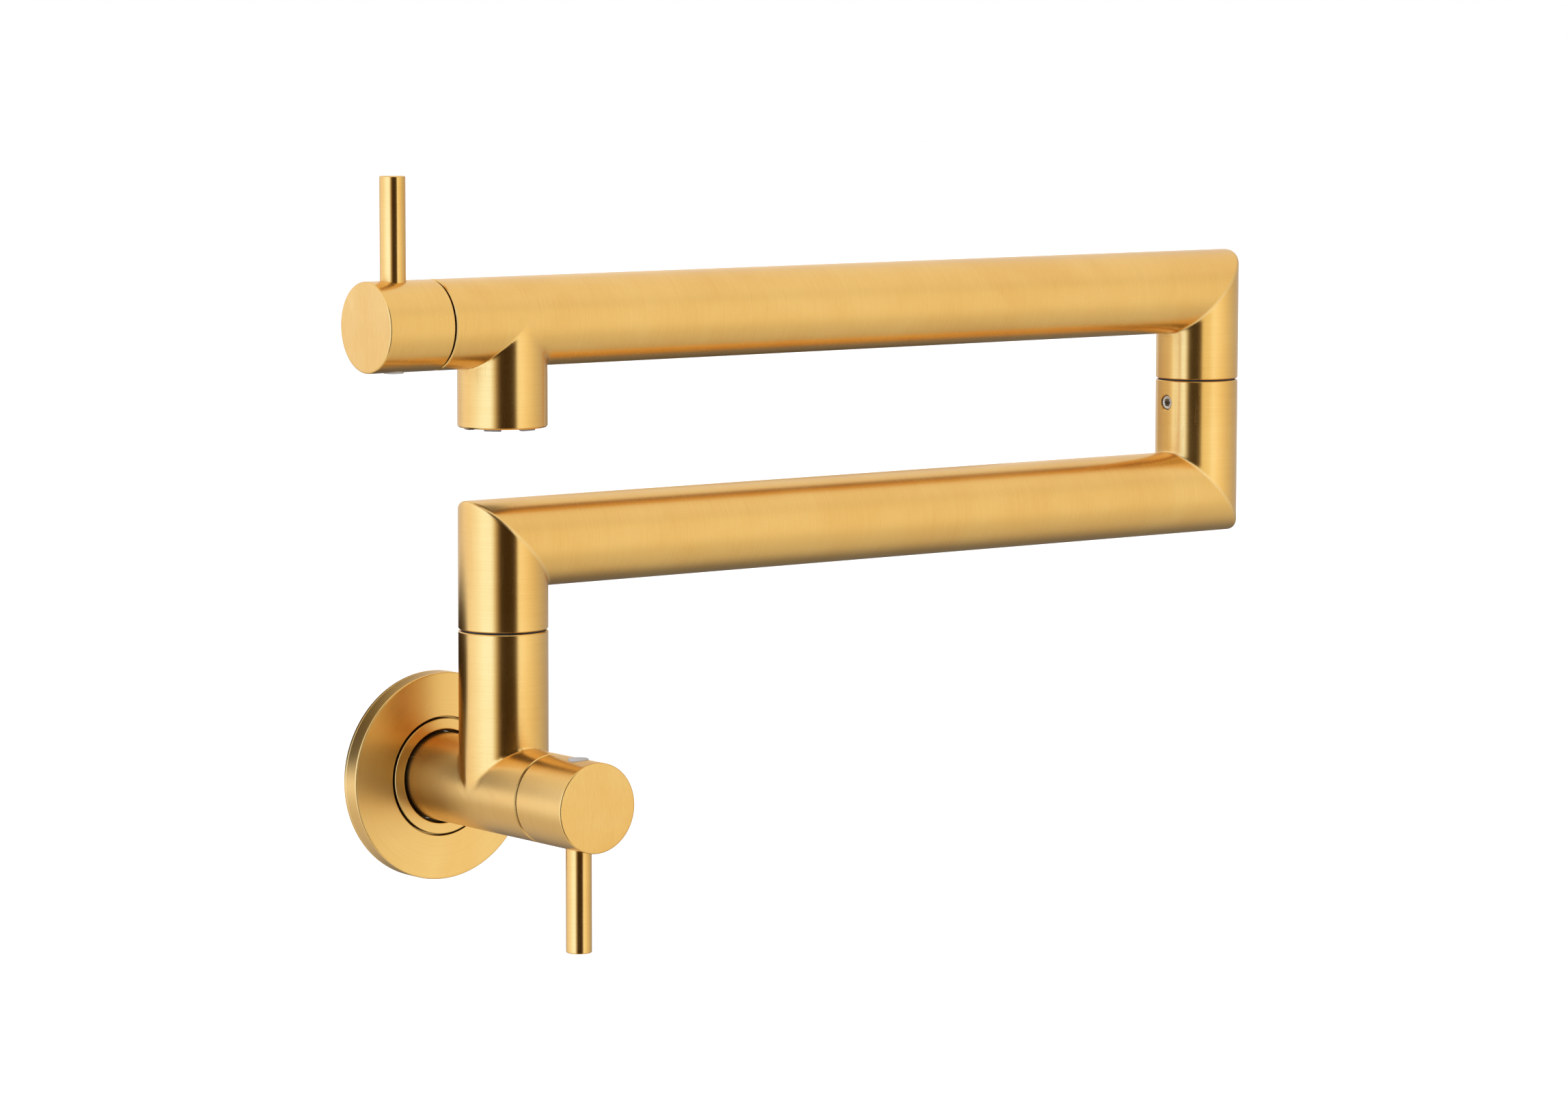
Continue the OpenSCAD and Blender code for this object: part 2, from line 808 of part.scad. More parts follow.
module wall_swivel_screw() {
    color(steel)
        at_wall_joint()
            rotate([0, 0, quarter_turn])
                swivel_screw();
}

module lower_arm() {
    color(gold)
        at_lower_arm()
            difference() {
                lower_run(tube_r, lower_leg - half_gap, riser_h - half_gap, joint_edge);
                lower_run(tube_bore_r, lower_leg + overrun, riser_h + overrun, 0);
                translate([arm_length, 0, riser_h])
                    rotate([0, 0, half_turn])
                        swivel_screw_hole();
            }
}

module elbow_swivel_spigot() {
    color(dull_brass)
        at_elbow_joint()
            swivel_spigot();
}

module elbow_swivel_o_rings() {
    color(black_rubber)
        at_elbow_joint()
            swivel_o_rings();
}

module elbow_swivel_washer() {
    color(black_plastic)
        at_elbow_joint()
            swivel_washer();
}

module elbow_swivel_screw() {
    color(steel)
        at_elbow_joint()
            rotate([0, 0, half_turn])
                swivel_screw();
}

module upper_arm() {
    color(gold)
        at_upper_arm()
            difference() {
                union() {
                    upper_run(tube_r, half_gap - valve_reach, upper_leg - half_gap, joint_edge, joint_edge);
                    translate([0, 0, -spout_drop])
                        bar(branch_r, spout_drop, spout_edge);
                }
                upper_run(tube_bore_r, seat_depth + seat_web, upper_leg + overrun, 0, 0);
                along_x(valve_bore_r, -valve_reach - overrun, seat_depth);
                along_x(waterway_d / 2, 0, seat_depth + seat_web + overrun);
                bore(outlet_bore_d / 2, -spout_drop, spout_drop);
                bore(aerator_bore_r, -spout_drop - overrun, aerator_depth + overrun);
            }
}

module aerator_housing() {
    color(grey_plastic)
        at_spout_rim()
            difference() {
                ring(aerator_r, aerator_inner_r, -lug_proud, aerator_top + lug_proud);
                for (i = [0 : aerator_lugs - 1])
                    rotate([0, 0, lug_turn + 360 * i / aerator_lugs])
                        lug_gap();
            }
}

// The slot between two lugs, as a wedge from the axis
module lug_gap() {
    far = 2 * aerator_r;
    translate([0, 0, -lug_proud - overrun])
        linear_extrude(lug_depth + overrun)
            polygon([
                [0, 0],
                [far * cos(lug_gap_angle / 2), -far * sin(lug_gap_angle / 2)],
                [far * cos(lug_gap_angle / 2), far * sin(lug_gap_angle / 2)]
            ]);
}

module aerator_core() {
    color(grey_plastic)
        at_spout_rim() {
            ring(core_r, core_inner_r, core_bottom, core_top - core_bottom);
            intersection() {
                bore(core_inner_r + core_wall / 2, core_bottom, grid_h);
                union() {
                    for (i = [-grid_count : grid_count]) {
                        translate([i * grid_pitch - grid_bar / 2, -core_r, core_bottom])
                            cube([grid_bar, 2 * core_r, grid_h]);
                        translate([-core_r, i * grid_pitch - grid_bar / 2, core_bottom])
                            cube([2 * core_r, grid_bar, grid_h]);
                    }
                }
            }
        }
}

module aerator_screen() {
    color(steel)
        at_spout_rim()
            difference() {
                bore(core_r, core_top + face_play, screen_t);
                hole_rings(screen_rings, screen_pitch, screen_hole_d, core_top - overrun,
                           screen_t + 2 * overrun);
            }
}

module aerator_gasket() {
    color(black_rubber)
        at_spout_rim()
            ring(aerator_r, aerator_inner_r - core_wall, aerator_top + face_play, aerator_gasket_t);
}

module wall_cartridge_body() {
    color(dull_brass)
        at_wall_valve()
            cartridge_body();
}

module wall_cartridge_nut() {
    color(dull_brass)
        at_wall_valve()
            cartridge_nut();
}

module wall_cartridge_seal() {
    color(black_rubber)
        at_wall_valve()
            cartridge_seal();
}

module wall_cartridge_o_ring() {
    color(black_rubber)
        at_wall_valve()
            cartridge_o_ring();
}

module wall_fixed_disc() {
    color(ceramic)
        at_wall_valve()
            fixed_disc();
}

module wall_moving_disc() {
    color(ceramic)
        at_wall_valve()
            moving_disc();
}

module wall_spindle() {
    color(dull_brass)
        at_wall_valve()
            spindle();
}

module wall_spindle_o_rings() {
    color(black_rubber)
        at_wall_valve()
            spindle_o_rings();
}

module wall_spindle_clip() {
    color(steel)
        at_wall_valve()
            spindle_clip();
}

module wall_handle() {
    color(gold)
        at_wall_valve()
            valve_handle();
}

module wall_lever() {
    color(gold)
        at_wall_valve()
            valve_lever();
}

module wall_handle_screw() {
    color(steel)
        at_wall_valve()
            handle_screw();
}

module wall_handle_plug() {
    color(grey_plastic)
        at_wall_valve()
            handle_plug();
}

module spout_cartridge_body() {
    color(dull_brass)
        at_spout_valve()
            cartridge_body();
}

module spout_cartridge_nut() {
    color(dull_brass)
        at_spout_valve()
            cartridge_nut();
}

module spout_cartridge_seal() {
    color(black_rubber)
        at_spout_valve()
            cartridge_seal();
}

module spout_cartridge_o_ring() {
    color(black_rubber)
        at_spout_valve()
            cartridge_o_ring();
}

module spout_fixed_disc() {
    color(ceramic)
        at_spout_valve()
            fixed_disc();
}

module spout_moving_disc() {
    color(ceramic)
        at_spout_valve()
            moving_disc();
}

module spout_spindle() {
    color(dull_brass)
        at_spout_valve()
            spindle();
}

module spout_spindle_o_rings() {
    color(black_rubber)
        at_spout_valve()
            spindle_o_rings();
}

module spout_spindle_clip() {
    color(steel)
        at_spout_valve()
            spindle_clip();
}

module spout_handle() {
    color(gold)
        at_spout_valve()
            valve_handle();
}

module spout_lever() {
    color(gold)
        at_spout_valve()
            valve_lever();
}

module spout_handle_screw() {
    color(steel)
        at_spout_valve()
            handle_screw();
}

module spout_handle_plug() {
    color(grey_plastic)
        at_spout_valve()
            handle_plug();
}

wall_flange();
flange_gasket();
flange_collar();
inlet_nipple();
inlet_washer();
inlet_strainer();
inlet_body();
wall_swivel_spigot();
wall_swivel_o_rings();
wall_swivel_washer();
wall_swivel_screw();
lower_arm();
elbow_swivel_spigot();
elbow_swivel_o_rings();
elbow_swivel_washer();
elbow_swivel_screw();
upper_arm();
aerator_housing();
aerator_core();
aerator_screen();
aerator_gasket();
wall_cartridge_body();
wall_cartridge_nut();
wall_cartridge_seal();
wall_cartridge_o_ring();
wall_fixed_disc();
wall_moving_disc();
wall_spindle();
wall_spindle_o_rings();
wall_spindle_clip();
wall_handle();
wall_lever();
wall_handle_screw();
wall_handle_plug();
spout_cartridge_body();
spout_cartridge_nut();
spout_cartridge_seal();
spout_cartridge_o_ring();
spout_fixed_disc();
spout_moving_disc();
spout_spindle();
spout_spindle_o_rings();
spout_spindle_clip();
spout_handle();
spout_lever();
spout_handle_screw();
spout_handle_plug();
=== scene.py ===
# %% [markdown]
# # A wall mounted pot filler in brushed gold
# The real tap is two arms of 28 mm brass tube that fold on two swivels, with a quarter turn
# valve at the wall and another above the spout. Its joints and sizes come from a CAD model,
# which is loaded here as a fixed frame. Each visible piece is then modelled again with the
# softened edges, welded creases and brushed skin that a CAD solid leaves out.

# %% Load the frame
import bpy
import bmesh
import json
import math
from mathutils import Euler, Matrix, Vector


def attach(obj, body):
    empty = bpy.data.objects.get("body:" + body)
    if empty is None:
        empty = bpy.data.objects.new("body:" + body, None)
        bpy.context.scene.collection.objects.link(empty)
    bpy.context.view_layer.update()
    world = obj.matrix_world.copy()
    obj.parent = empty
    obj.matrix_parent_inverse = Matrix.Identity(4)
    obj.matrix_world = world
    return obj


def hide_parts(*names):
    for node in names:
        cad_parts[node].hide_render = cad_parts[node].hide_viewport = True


scene = bpy.context.scene
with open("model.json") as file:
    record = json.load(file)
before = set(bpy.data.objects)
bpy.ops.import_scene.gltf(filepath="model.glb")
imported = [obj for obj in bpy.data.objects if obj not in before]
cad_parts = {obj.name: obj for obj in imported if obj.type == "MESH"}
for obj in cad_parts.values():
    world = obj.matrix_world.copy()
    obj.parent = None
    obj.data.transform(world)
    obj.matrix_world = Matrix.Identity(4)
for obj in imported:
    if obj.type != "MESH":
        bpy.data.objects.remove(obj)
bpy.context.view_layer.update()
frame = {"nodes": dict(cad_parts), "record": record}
nodes = frame["nodes"]

# %% [markdown]
# ## The sizes that the pieces share
# A maker writes the few sizes that every piece is cut to on one card. Here they are in
# millimetres, as on the drawing, and one factor turns them into Blender's metres. The last
# three are the modeller's own: the sides of a round piece, the distance below which vertices
# are merged, and the spare length of a tube that is sawn off at a mitre.

# %% Sizes
MM = 0.001
TUBE = 14.0
BORE = 12.0
CARTRIDGE_BORE = 11.0
OUTLET_BORE = 10.0
INLET_BORE = 6.5
EDGE = 0.32
HALF_GAP = 0.3
POST_Y = -40.5
ELBOW_X = 288.5
WALL_SCREW = 42.3
WALL_JOINT = 50.1
LOWER_AXIS = 76.8
ELBOW_SCREW = 107.8
SPOUT_RIM = 113.1
ELBOW_JOINT = 115.6
UPPER_AXIS = 145.5
VALVE_REACH = 26.3
SIDES = 160
MERGE = 0.002 * MM
SPARE = 16
print("reach between the swivels:", ELBOW_X, "mm")

# %% [markdown]
# ## The camera
# The photograph was taken from the front left and a little above, with a long lens. The
# camera is aimed first, so that every piece can be judged from there.

# %% Camera
camera_data = bpy.data.cameras.new("photo_camera")
camera_data.sensor_width = 36
camera_data.lens = 119.514
camera = bpy.data.objects.new("photo_camera", camera_data)
scene.collection.objects.link(camera)
aim = Matrix.Rotation(math.radians(-37.662), 4, "Z")
aim = aim @ Matrix.Rotation(math.radians(83.85), 4, "X")
aim = aim @ Matrix.Rotation(math.radians(0.1), 4, "Z")
camera.matrix_world = Matrix.Translation((-0.911106, -1.363466, 0.246172)) @ aim
scene.camera = camera
scene.view_settings.view_transform = "Standard"
print("lens:", round(camera_data.lens, 1), "mm")

# %% [markdown]
# ## Working in edit mode from code
# An operator acts on whatever is selected, so each step opens one piece with nothing or all
# of it selected, picks its parts by place, and closes it again. These few helpers do what
# the hand does with the tab key and the mouse.

# %% Open, close and pick
def clear_selection():
    if bpy.context.object and bpy.context.object.mode != "OBJECT":
        bpy.ops.object.mode_set(mode="OBJECT")
    bpy.ops.object.select_all(action="DESELECT")


def take(*pieces):
    clear_selection()
    for piece in pieces:
        piece.select_set(True)
    bpy.context.view_layer.objects.active = pieces[0]


def open_piece(piece, action="DESELECT"):
    take(piece)
    bpy.ops.object.mode_set(mode="EDIT")
    bpy.ops.mesh.select_mode(type="VERT")
    bpy.ops.mesh.select_all(action=action)


def close_piece():
    bpy.ops.object.mode_set(mode="OBJECT")


def apply_place():
    """Moves a selected piece's place into its mesh, and leaves the object at the origin."""
    bpy.ops.object.transform_apply(location=True, rotation=True, scale=True)


def pick(piece, kind, test):
    """Selects the vertices or faces whose middle, in millimetres, passes the test."""
    bpy.ops.mesh.select_mode(type=kind)
    bpy.ops.mesh.select_all(action="DESELECT")
    shape = bmesh.from_edit_mesh(piece.data)
    if kind == "VERT":
        for vertex in shape.verts:
            vertex.select_set(test(vertex.co / MM))
    else:
        for face in shape.faces:
            face.select_set(test(face.calc_center_median() / MM))
    shape.select_flush_mode()
    bmesh.update_edit_mesh(piece.data)


# %% [markdown]
# ## Turning a piece
# Every gold piece of this tap starts as something round. A ring of edges is drawn out from
# one height and radius to the next, as a turner follows a profile. A corner with an edge
# radius becomes a short curve, with a plain ring on each side of it, so that the shine of
# the curve doesn't spread over the flat faces beside it.

# %% Soft corners
def soften(corners):
    points = []
    for index, (height, radius, edge) in enumerate(corners):
        here = Vector((height, radius))
        if edge == 0:
            points.append(here)
            continue
        back = (Vector(corners[index - 1][:2]) - here).normalized()
        onward = (Vector(corners[(index + 1) % len(corners)][:2]) - here).normalized()
        start, end = here + back * edge, here + onward * edge
        points.append(here + back * edge * 1.5)
        for share in (0, 0.25, 0.5, 0.75, 1):
            points.append((1 - share) ** 2 * start + 2 * share * (1 - share) * here
                          + share ** 2 * end)
        points.append(here + onward * edge * 1.5)
    return points


# %% Turn a profile
def turned(name, corners, sides=SIDES, ends="filled", finish=None):
    """Draws (height, radius, edge) in millimetres round Z. Ends: filled, open or ring."""
    points = soften(corners)
    if ends == "ring":
        points.append(points[0])
    clear_selection()
    bpy.ops.mesh.primitive_circle_add(vertices=sides, radius=points[0].y * MM,
                                      fill_type="NOTHING", location=(0, 0, points[0].x * MM))
    piece = bpy.context.object
    piece.name = name
    apply_place()
    open_piece(piece, "SELECT")
    for before, after in zip(points, points[1:]):
        bpy.ops.mesh.extrude_region_move(
            TRANSFORM_OT_translate={"value": (0, 0, (after.x - before.x) * MM)})
        share = after.y / before.y
        bpy.ops.transform.resize(value=(share, share, 1), center_override=(0, 0, after.x * MM))
    close_piece()
    if ends == "ring":
        weld(piece)
    if ends != "open":
        fill(piece)
    if finish:
        piece.data.materials.append(finish)
    return piece


def weld(*pieces):
    """Joins pieces into the first and merges the vertices that they share."""
    take(*pieces)
    if len(pieces) > 1:
        bpy.ops.object.join()
    open_piece(pieces[0], "SELECT")
    bpy.ops.mesh.remove_doubles(threshold=MERGE)
    close_piece()
    return pieces[0]


def fill(piece):
    """Closes the open ends with flat faces and turns every face outwards."""
    open_piece(piece)
    bpy.ops.mesh.select_mode(type="EDGE")
    bpy.ops.mesh.select_non_manifold(use_wire=False, use_multi_face=False,
                                     use_non_contiguous=False, use_verts=False)
    bpy.ops.mesh.fill_holes(sides=0)
    bpy.ops.mesh.select_all(action="SELECT")
    bpy.ops.mesh.normals_make_consistent(inside=False)
    close_piece()


# %% [markdown]
# A turned piece stands on the Z axis. It is then tipped onto its own axis and moved to its
# spot, and that place is applied, so the object stays at the origin and its mesh holds the
# place, as the frame needs.

# %% Stand a piece on its axis
TURNS = {"+Z": Matrix.Identity(3), "+X": Matrix.Rotation(math.radians(90), 3, "Y"),
         "-Y": Matrix.Rotation(math.radians(90), 3, "X")}


def stand(piece, axis, spot=(0, 0, 0)):
    take(piece)
    piece.rotation_euler = TURNS[axis].to_euler()
    piece.location = Vector(spot) * MM
    apply_place()
    return piece


def measure(piece):
    """Prints a piece's faces, its open edges and its size in millimetres."""
    shape = bmesh.new()
    shape.from_mesh(piece.data)
    loose = sum(1 for edge in shape.edges if len(edge.link_faces) != 2)
    size = [round(length / MM, 2) for length in piece.dimensions]
    print(piece.name, "faces:", len(shape.faces), "open edges:", loose, "size:", size)
    shape.free()


# %% [markdown]
# ## Cutting and drilling
# A saw cut is a bisect by a plane, which can also throw away one side. A hole is a cutter of
# the drill's shape, subtracted by a Boolean modifier that is applied at once. The walls of
# the hole take the cutter's finish, as a fresh hole in a plated piece shows another metal.

# %% Saw
def saw(piece, spot, normal, keep=None):
    """Cuts all faces by a plane, and keeps both sides, the front one or the back one."""
    open_piece(piece, "SELECT")
    bpy.ops.mesh.bisect(plane_co=Vector(spot) * MM, plane_no=normal, threshold=0.0000005,
                        clear_inner=keep == "front", clear_outer=keep == "back")
    close_piece()


# %% Drill
def modify(piece, kind, **settings):
    """Adds a modifier, sets it and applies it at once."""
    change = piece.modifiers.new(kind, kind)
    for label, value in settings.items():
        setattr(change, label, value)
    take(piece)
    bpy.ops.object.modifier_apply(modifier=change.name)


def combine(piece, tool, operation="DIFFERENCE"):
    modify(piece, "BOOLEAN", operation=operation, object=tool, solver="EXACT",
           material_mode="TRANSFER")
    bpy.data.objects.remove(tool)


def drill(piece, radius, start, end, finish, end_radius=None, sides=64):
    """Cuts a hole from start to end, which may widen on the way or have only a few sides."""
    start, end = Vector(start) * MM, Vector(end) * MM
    clear_selection()
    bpy.ops.mesh.primitive_cone_add(
        vertices=sides, radius1=radius * MM, radius2=(end_radius or radius) * MM,
        depth=(end - start).length, location=(start + end) / 2,
        rotation=(end - start).to_track_quat("Z", "Y").to_euler())
    tool = bpy.context.object
    tool.data.materials.append(finish)
    combine(piece, tool)


def cut_hexagon(piece, flats, start, end, finish):
    """Cuts a hexagon socket for a key that measures so much across its flats."""
    drill(piece, flats / math.sqrt(3), start, end, finish, sides=6)


# %% [markdown]
# ## Finishes
# A finish is a material built from small groups, each with one job: the hairlines that a
# brush leaves, the soft marks of hands and cloths, the rings of a lathe, the grain of a
# mould. A group only gives plain values; the shader that uses them stays in the material.

# %% Helpers for node trees
def feed(tree, value, socket):
    """Gives an input its value, or a wire when the value is another node's output."""
    if isinstance(value, bpy.types.NodeSocket):
        tree.links.new(value, socket)
    elif socket.type == "RGBA":
        socket.default_value = (*value, 1)
    else:
        socket.default_value = value


def feed_all(tree, node, values):
    """Feeds a node's inputs by their labels."""
    for label, value in values.items():
        feed(tree, value, node.inputs[label])


def add_node(tree, kind, **settings):
    """Adds a node. A setting is an attribute, or an input when its name is in_ and a number."""
    node = tree.nodes.new("ShaderNode" + kind)
    for label, value in settings.items():
        if label.startswith("in_"):
            feed(tree, value, node.inputs[int(label[3:])])
        else:
            setattr(node, label, value)
    return node


def add(tree, kind, output=0, **settings):
    """Adds a node and returns one of its outputs."""
    return add_node(tree, kind, **settings).outputs[output]


# %% [markdown]
# Most of a material is a few kinds of node in a row: noises, ranges, mappings and mixes. Each
# gets a short name that returns its output, so that a tree reads from the inside out.

# %% The nodes that are used most
def noise(tree, place, scale, detail, rough, distortion=0):
    return add(tree, "TexNoise", in_0=place, in_2=scale, in_3=detail, in_4=rough,
               in_8=distortion)


def remap(tree, value, low, high, to_low=0, to_high=1, **settings):
    return add(tree, "MapRange", in_0=value, in_1=low, in_2=high, in_3=to_low, in_4=to_high,
               **settings)


def scaled(tree, place, scale, location=(0, 0, 0), turn=(0, 0, 0)):
    return add(tree, "Mapping", in_0=place, in_1=location, in_2=turn, in_3=scale)


def mix_values(tree, share, first, second):
    return add(tree, "Mix", data_type="FLOAT", in_0=share, in_2=first, in_3=second)


def mix_colours(tree, share, first, second, blend="MIX"):
    node = add_node(tree, "Mix", data_type="RGBA", blend_type=blend)
    feed_all(tree, node, {"Factor": share, "A": first, "B": second})
    return node.outputs["Result"]


# %% [markdown]
# Each group here reads a place on the piece and gives back one or two plain values.

# %% Groups
def new_group(name, *outputs):
    """Starts a group that reads a place and gives values, and returns both of its ends."""
    tree = bpy.data.node_groups.new(name, "ShaderNodeTree")
    tree.interface.new_socket("Vector", in_out="INPUT", socket_type="NodeSocketVector")
    for label in outputs:
        tree.interface.new_socket(label, in_out="OUTPUT", socket_type="NodeSocketFloat")
    print("group:", name)
    return tree, tree.nodes.new("NodeGroupInput").outputs[0], tree.nodes.new("NodeGroupOutput")


def use_group(tree, group, place):
    node = add_node(tree, "Group", node_tree=group)
    feed(tree, place, node.inputs["Vector"])
    return node.outputs


# %% [markdown]
# ### Hairlines of the brush
# The tubes were spun against an abrasive belt, which leaves fine lines round them. Two
# noises are read on a coordinate that is stretched hard across the lines, one for the fine
# lines and one for the broader streaks of a worn belt.

# %% The hairline group
hairlines, place, leave = new_group("brushed hairlines", "Tone", "Height")
fine = noise(hairlines, place, 1.0, 2.0, 0.6)
broad = noise(hairlines, place, 0.22, 2.0, 0.5)
feed_all(hairlines, leave, {"Tone": mix_values(hairlines, 0.22, fine, broad), "Height": fine})

# %% [markdown]
# ### Marks of handling
# A tap is wiped and held, so its satin is never quite even. A slow noise makes the wide
# smears, and a stretched and twisted one makes a few faint scratches that cross the lines.

# %% The handling group
handling, place, leave = new_group("handling marks", "Smear", "Scratch")
smear = noise(handling, place, 34.0, 3.0, 0.55, 0.4)
twisted = scaled(handling, place, (900, 60, 60), turn=(0.7, 0.9, 0.5))
scratch = noise(handling, twisted, 1.0, 1.0, 0.5, 1.2)
feed_all(handling, leave, {"Smear": remap(handling, smear, 0.38, 0.66),
                           "Scratch": remap(handling, scratch, 0.66, 0.78)})

# %% [markdown]
# ### The satin gold itself
# Brushed metal is blurred across its hairlines only. The shader's Anisotropic does that, and
# its Tangent says along which way the blur runs: along the axis of a tube, and outwards from
# the middle of a disc. One function makes the gold for each way that a surface was brushed.

# %% Materials
def start_finish(name):
    material = bpy.data.materials.new(name)
    material.use_nodes = True
    tree = material.node_tree
    print("finish:", name)
    return material, tree, tree.nodes["Principled BSDF"], add(tree, "TexCoord", "Object")


def dress(tree, shader, colour, rough, height, strength, depth, metallic=0):
    """Feeds a shader's colour and roughness, and its bump by a height."""
    bump = add_node(tree, "Bump")
    feed_all(tree, bump, {"Strength": strength, "Distance": depth, "Height": height})
    feed_all(tree, shader, {"Base Color": colour, "Roughness": rough, "Metallic": metallic,
                            "Normal": bump.outputs[0]})


# %% Satin gold
HAIRLINES_PER_METRE = 5200.0
ALONG_A_HAIRLINE = 70.0


def gold_skin(tree, shader, place, brushed, rough, spread, dull=(0.81, 0.47, 0.132),
              bright=(0.89, 0.572, 0.19)):
    """Dresses the gold by hairlines on the brushed coordinate and marks of handling."""
    lines = use_group(tree, hairlines, brushed)
    marks = use_group(tree, handling, place)
    tone = remap(tree, lines["Tone"], 0.3, 0.7)
    cloudy = mix_values(tree, 0.5, tone, marks["Smear"])
    smeared = remap(tree, marks["Smear"], 0, 1, rough - spread, rough + spread)
    scratched = add(tree, "Math", operation="MULTIPLY_ADD", in_0=marks["Scratch"], in_1=0.045,
                    in_2=smeared)
    dress(tree, shader, mix_colours(tree, cloudy, dull, bright), scratched,
          lines["Height"], 0.09, 0.00001, metallic=1)


def blur_along(tree, shader, way, amount):
    """Blurs the shine along a direction of the object's own space."""
    turned_way = add(tree, "VectorTransform", vector_type="VECTOR", convert_from="OBJECT",
                     convert_to="WORLD", in_0=way)
    feed_all(tree, shader, {"Tangent": turned_way, "Anisotropic": amount})


def tube_gold(axis):
    """Gold brushed round a tube that lies along the axis."""
    material, tree, shader, place = start_finish("satin gold along " + axis)
    way = "XYZ".index(axis)
    scale = [ALONG_A_HAIRLINE] * 3
    scale[way] = HAIRLINES_PER_METRE
    gold_skin(tree, shader, place, scaled(tree, place, scale), 0.27, 0.012)
    along = add_node(tree, "CombineXYZ")
    along.inputs[way].default_value = 1
    blur_along(tree, shader, along.outputs[0], 0.75)
    return material


gold_x, gold_y, gold_z = (tube_gold(axis) for axis in "XYZ")

# %% [markdown]
# ### Gold on flat faces
# The flange and the collar were brushed on a turntable, so their lines are circles round the
# inlet. The distance from that axis makes those circles, and the tangent points outwards.
# The ends of the handles were brushed straight and then blasted, so they look almost even.
# The welds of the elbows were burnished with a small wheel, so they run no way; their
# paler colour is a painted highlight along the crease.

# %% Disc gold and end gold
def disc_gold(name):
    material, tree, shader, place = start_finish(name)
    flat = scaled(tree, place, (1, 0, 1))
    radius = add(tree, "VectorMath", "Value", operation="LENGTH", in_0=flat)
    stretched = add(tree, "Math", operation="MULTIPLY", in_0=radius, in_1=HAIRLINES_PER_METRE)
    rings = add(tree, "CombineXYZ", in_0=stretched)
    slow = scaled(tree, place, (ALONG_A_HAIRLINE, 0, ALONG_A_HAIRLINE))
    both = add(tree, "VectorMath", operation="ADD", in_0=rings, in_1=slow)
    gold_skin(tree, shader, place, both, 0.36, 0.02, dull=(0.855, 0.52, 0.158),
              bright=(0.94, 0.635, 0.232))
    blur_along(tree, shader, flat, 0.5)
    return material


def end_gold(name, across, rough=0.34, dull=(0.79, 0.452, 0.12), bright=(0.91, 0.598, 0.212)):
    material, tree, shader, place = start_finish(name)
    gold_skin(tree, shader, place, scaled(tree, place, across), rough, 0.03, dull, bright)
    return material


gold_disc = disc_gold("satin gold round the inlet")
gold_wall_end = end_gold("satin gold of the wall handle's end", (4200, 1500, 260))
gold_spout_end = end_gold("satin gold of the spout handle's end", (1500, 4200, 260))
# painted highlight: the weld gold is paler than the tube gold, standing in for the crease
# catching light
gold_weld_with_highlight = end_gold("burnished gold of the welds, painted pale as a highlight", (700, 700, 700), 0.33,
                     dull=(0.82, 0.52, 0.18), bright=(0.90, 0.61, 0.25))

# %% [markdown]
# ### Bare metals
# Inside, the tap is plain machined brass, with rings from the lathe, and its screws and
# filters are stainless steel. Both use one group that draws rings round every axis at once,
# which reads as tool marks on any turned piece. In the narrow gaps round the collar the brass
# is painted nearly black, as painted shade for the depth of those gaps.

# %% Machined metals
tooling, place, leave = new_group("lathe marks", "Tone", "Height")
wave = add(tooling, "TexWave", "Fac", wave_type="RINGS", rings_direction="SPHERICAL",
           in_0=place, in_1=900.0, in_2=1.5)
speck = noise(tooling, place, 420.0, 3.0, 0.6)
feed_all(tooling, leave, {"Tone": mix_values(tooling, 0.6, wave, speck), "Height": wave})


def bare_metal(name, dark, light, low, high):
    material, tree, shader, place = start_finish(name)
    marks = use_group(tree, tooling, place)
    dress(tree, shader, mix_colours(tree, marks["Tone"], dark, light),
          remap(tree, marks["Tone"], 0, 1, low, high), marks["Height"], 0.3, 0.000004,
          metallic=1)
    return material


brass = bare_metal("machined brass", (0.50, 0.32, 0.12), (0.72, 0.50, 0.22), 0.22, 0.42)
# painted shade: this brass is painted nearly black to stand for the shade deep in the gaps round
# the collar
gap_shade_brass = bare_metal("brass painted dark as shade in a gap", (0.05, 0.028, 0.010), (0.11, 0.066, 0.026), 0.45, 0.6)
steel = bare_metal("stainless steel", (0.47, 0.43, 0.375), (0.74, 0.685, 0.60), 0.16, 0.32)

# %% [markdown]
# ### Rubber, ceramic and plastic
# These are moulded or lapped, so they have no direction. A fine noise gives the grain of the
# mould, and a slow one gives the cloudiness of the colour. The aerator's ring is grey with a
# brown cast, and the thin washers of the swivels are black, so each joint reads as a dark line.

# %% Moulded stuffs
grain, place, leave = new_group("moulded grain", "Cloud", "Grain")
feed_all(grain, leave, {"Cloud": noise(grain, place, 260.0, 4.0, 0.6),
                        "Grain": noise(grain, place, 3800.0, 2.0, 0.5)})


def moulded(name, dark, light, low, high, depth):
    material, tree, shader, place = start_finish(name)
    skin = use_group(tree, grain, place)
    share = remap(tree, skin["Cloud"], 0.3, 0.7)
    dress(tree, shader, mix_colours(tree, share, dark, light),
          remap(tree, skin["Grain"], 0, 1, low, high), skin["Grain"], 0.4, depth)
    return material


rubber = moulded("black rubber", (0.018, 0.018, 0.018), (0.035, 0.035, 0.034), 0.5, 0.75, 0.00002)
ceramic = moulded("lapped ceramic", (0.80, 0.79, 0.74), (0.88, 0.87, 0.83), 0.08, 0.2, 0.000002)
black_plastic = moulded("black acetal", (0.012, 0.011, 0.010), (0.03, 0.028, 0.025), 0.5, 0.7,
                        0.00001)
lug_plastic = moulded("aerator plastic", (0.19, 0.155, 0.13), (0.29, 0.24, 0.205), 0.4, 0.6,
                      0.00002)
grey_plastic = moulded("grey plastic", (0.36, 0.36, 0.36), (0.46, 0.46, 0.455), 0.45, 0.65,
                       0.00003)
plug_plastic = moulded("plug plastic", (0.47, 0.45, 0.41), (0.60, 0.57, 0.53), 0.5, 0.7, 0.00006)

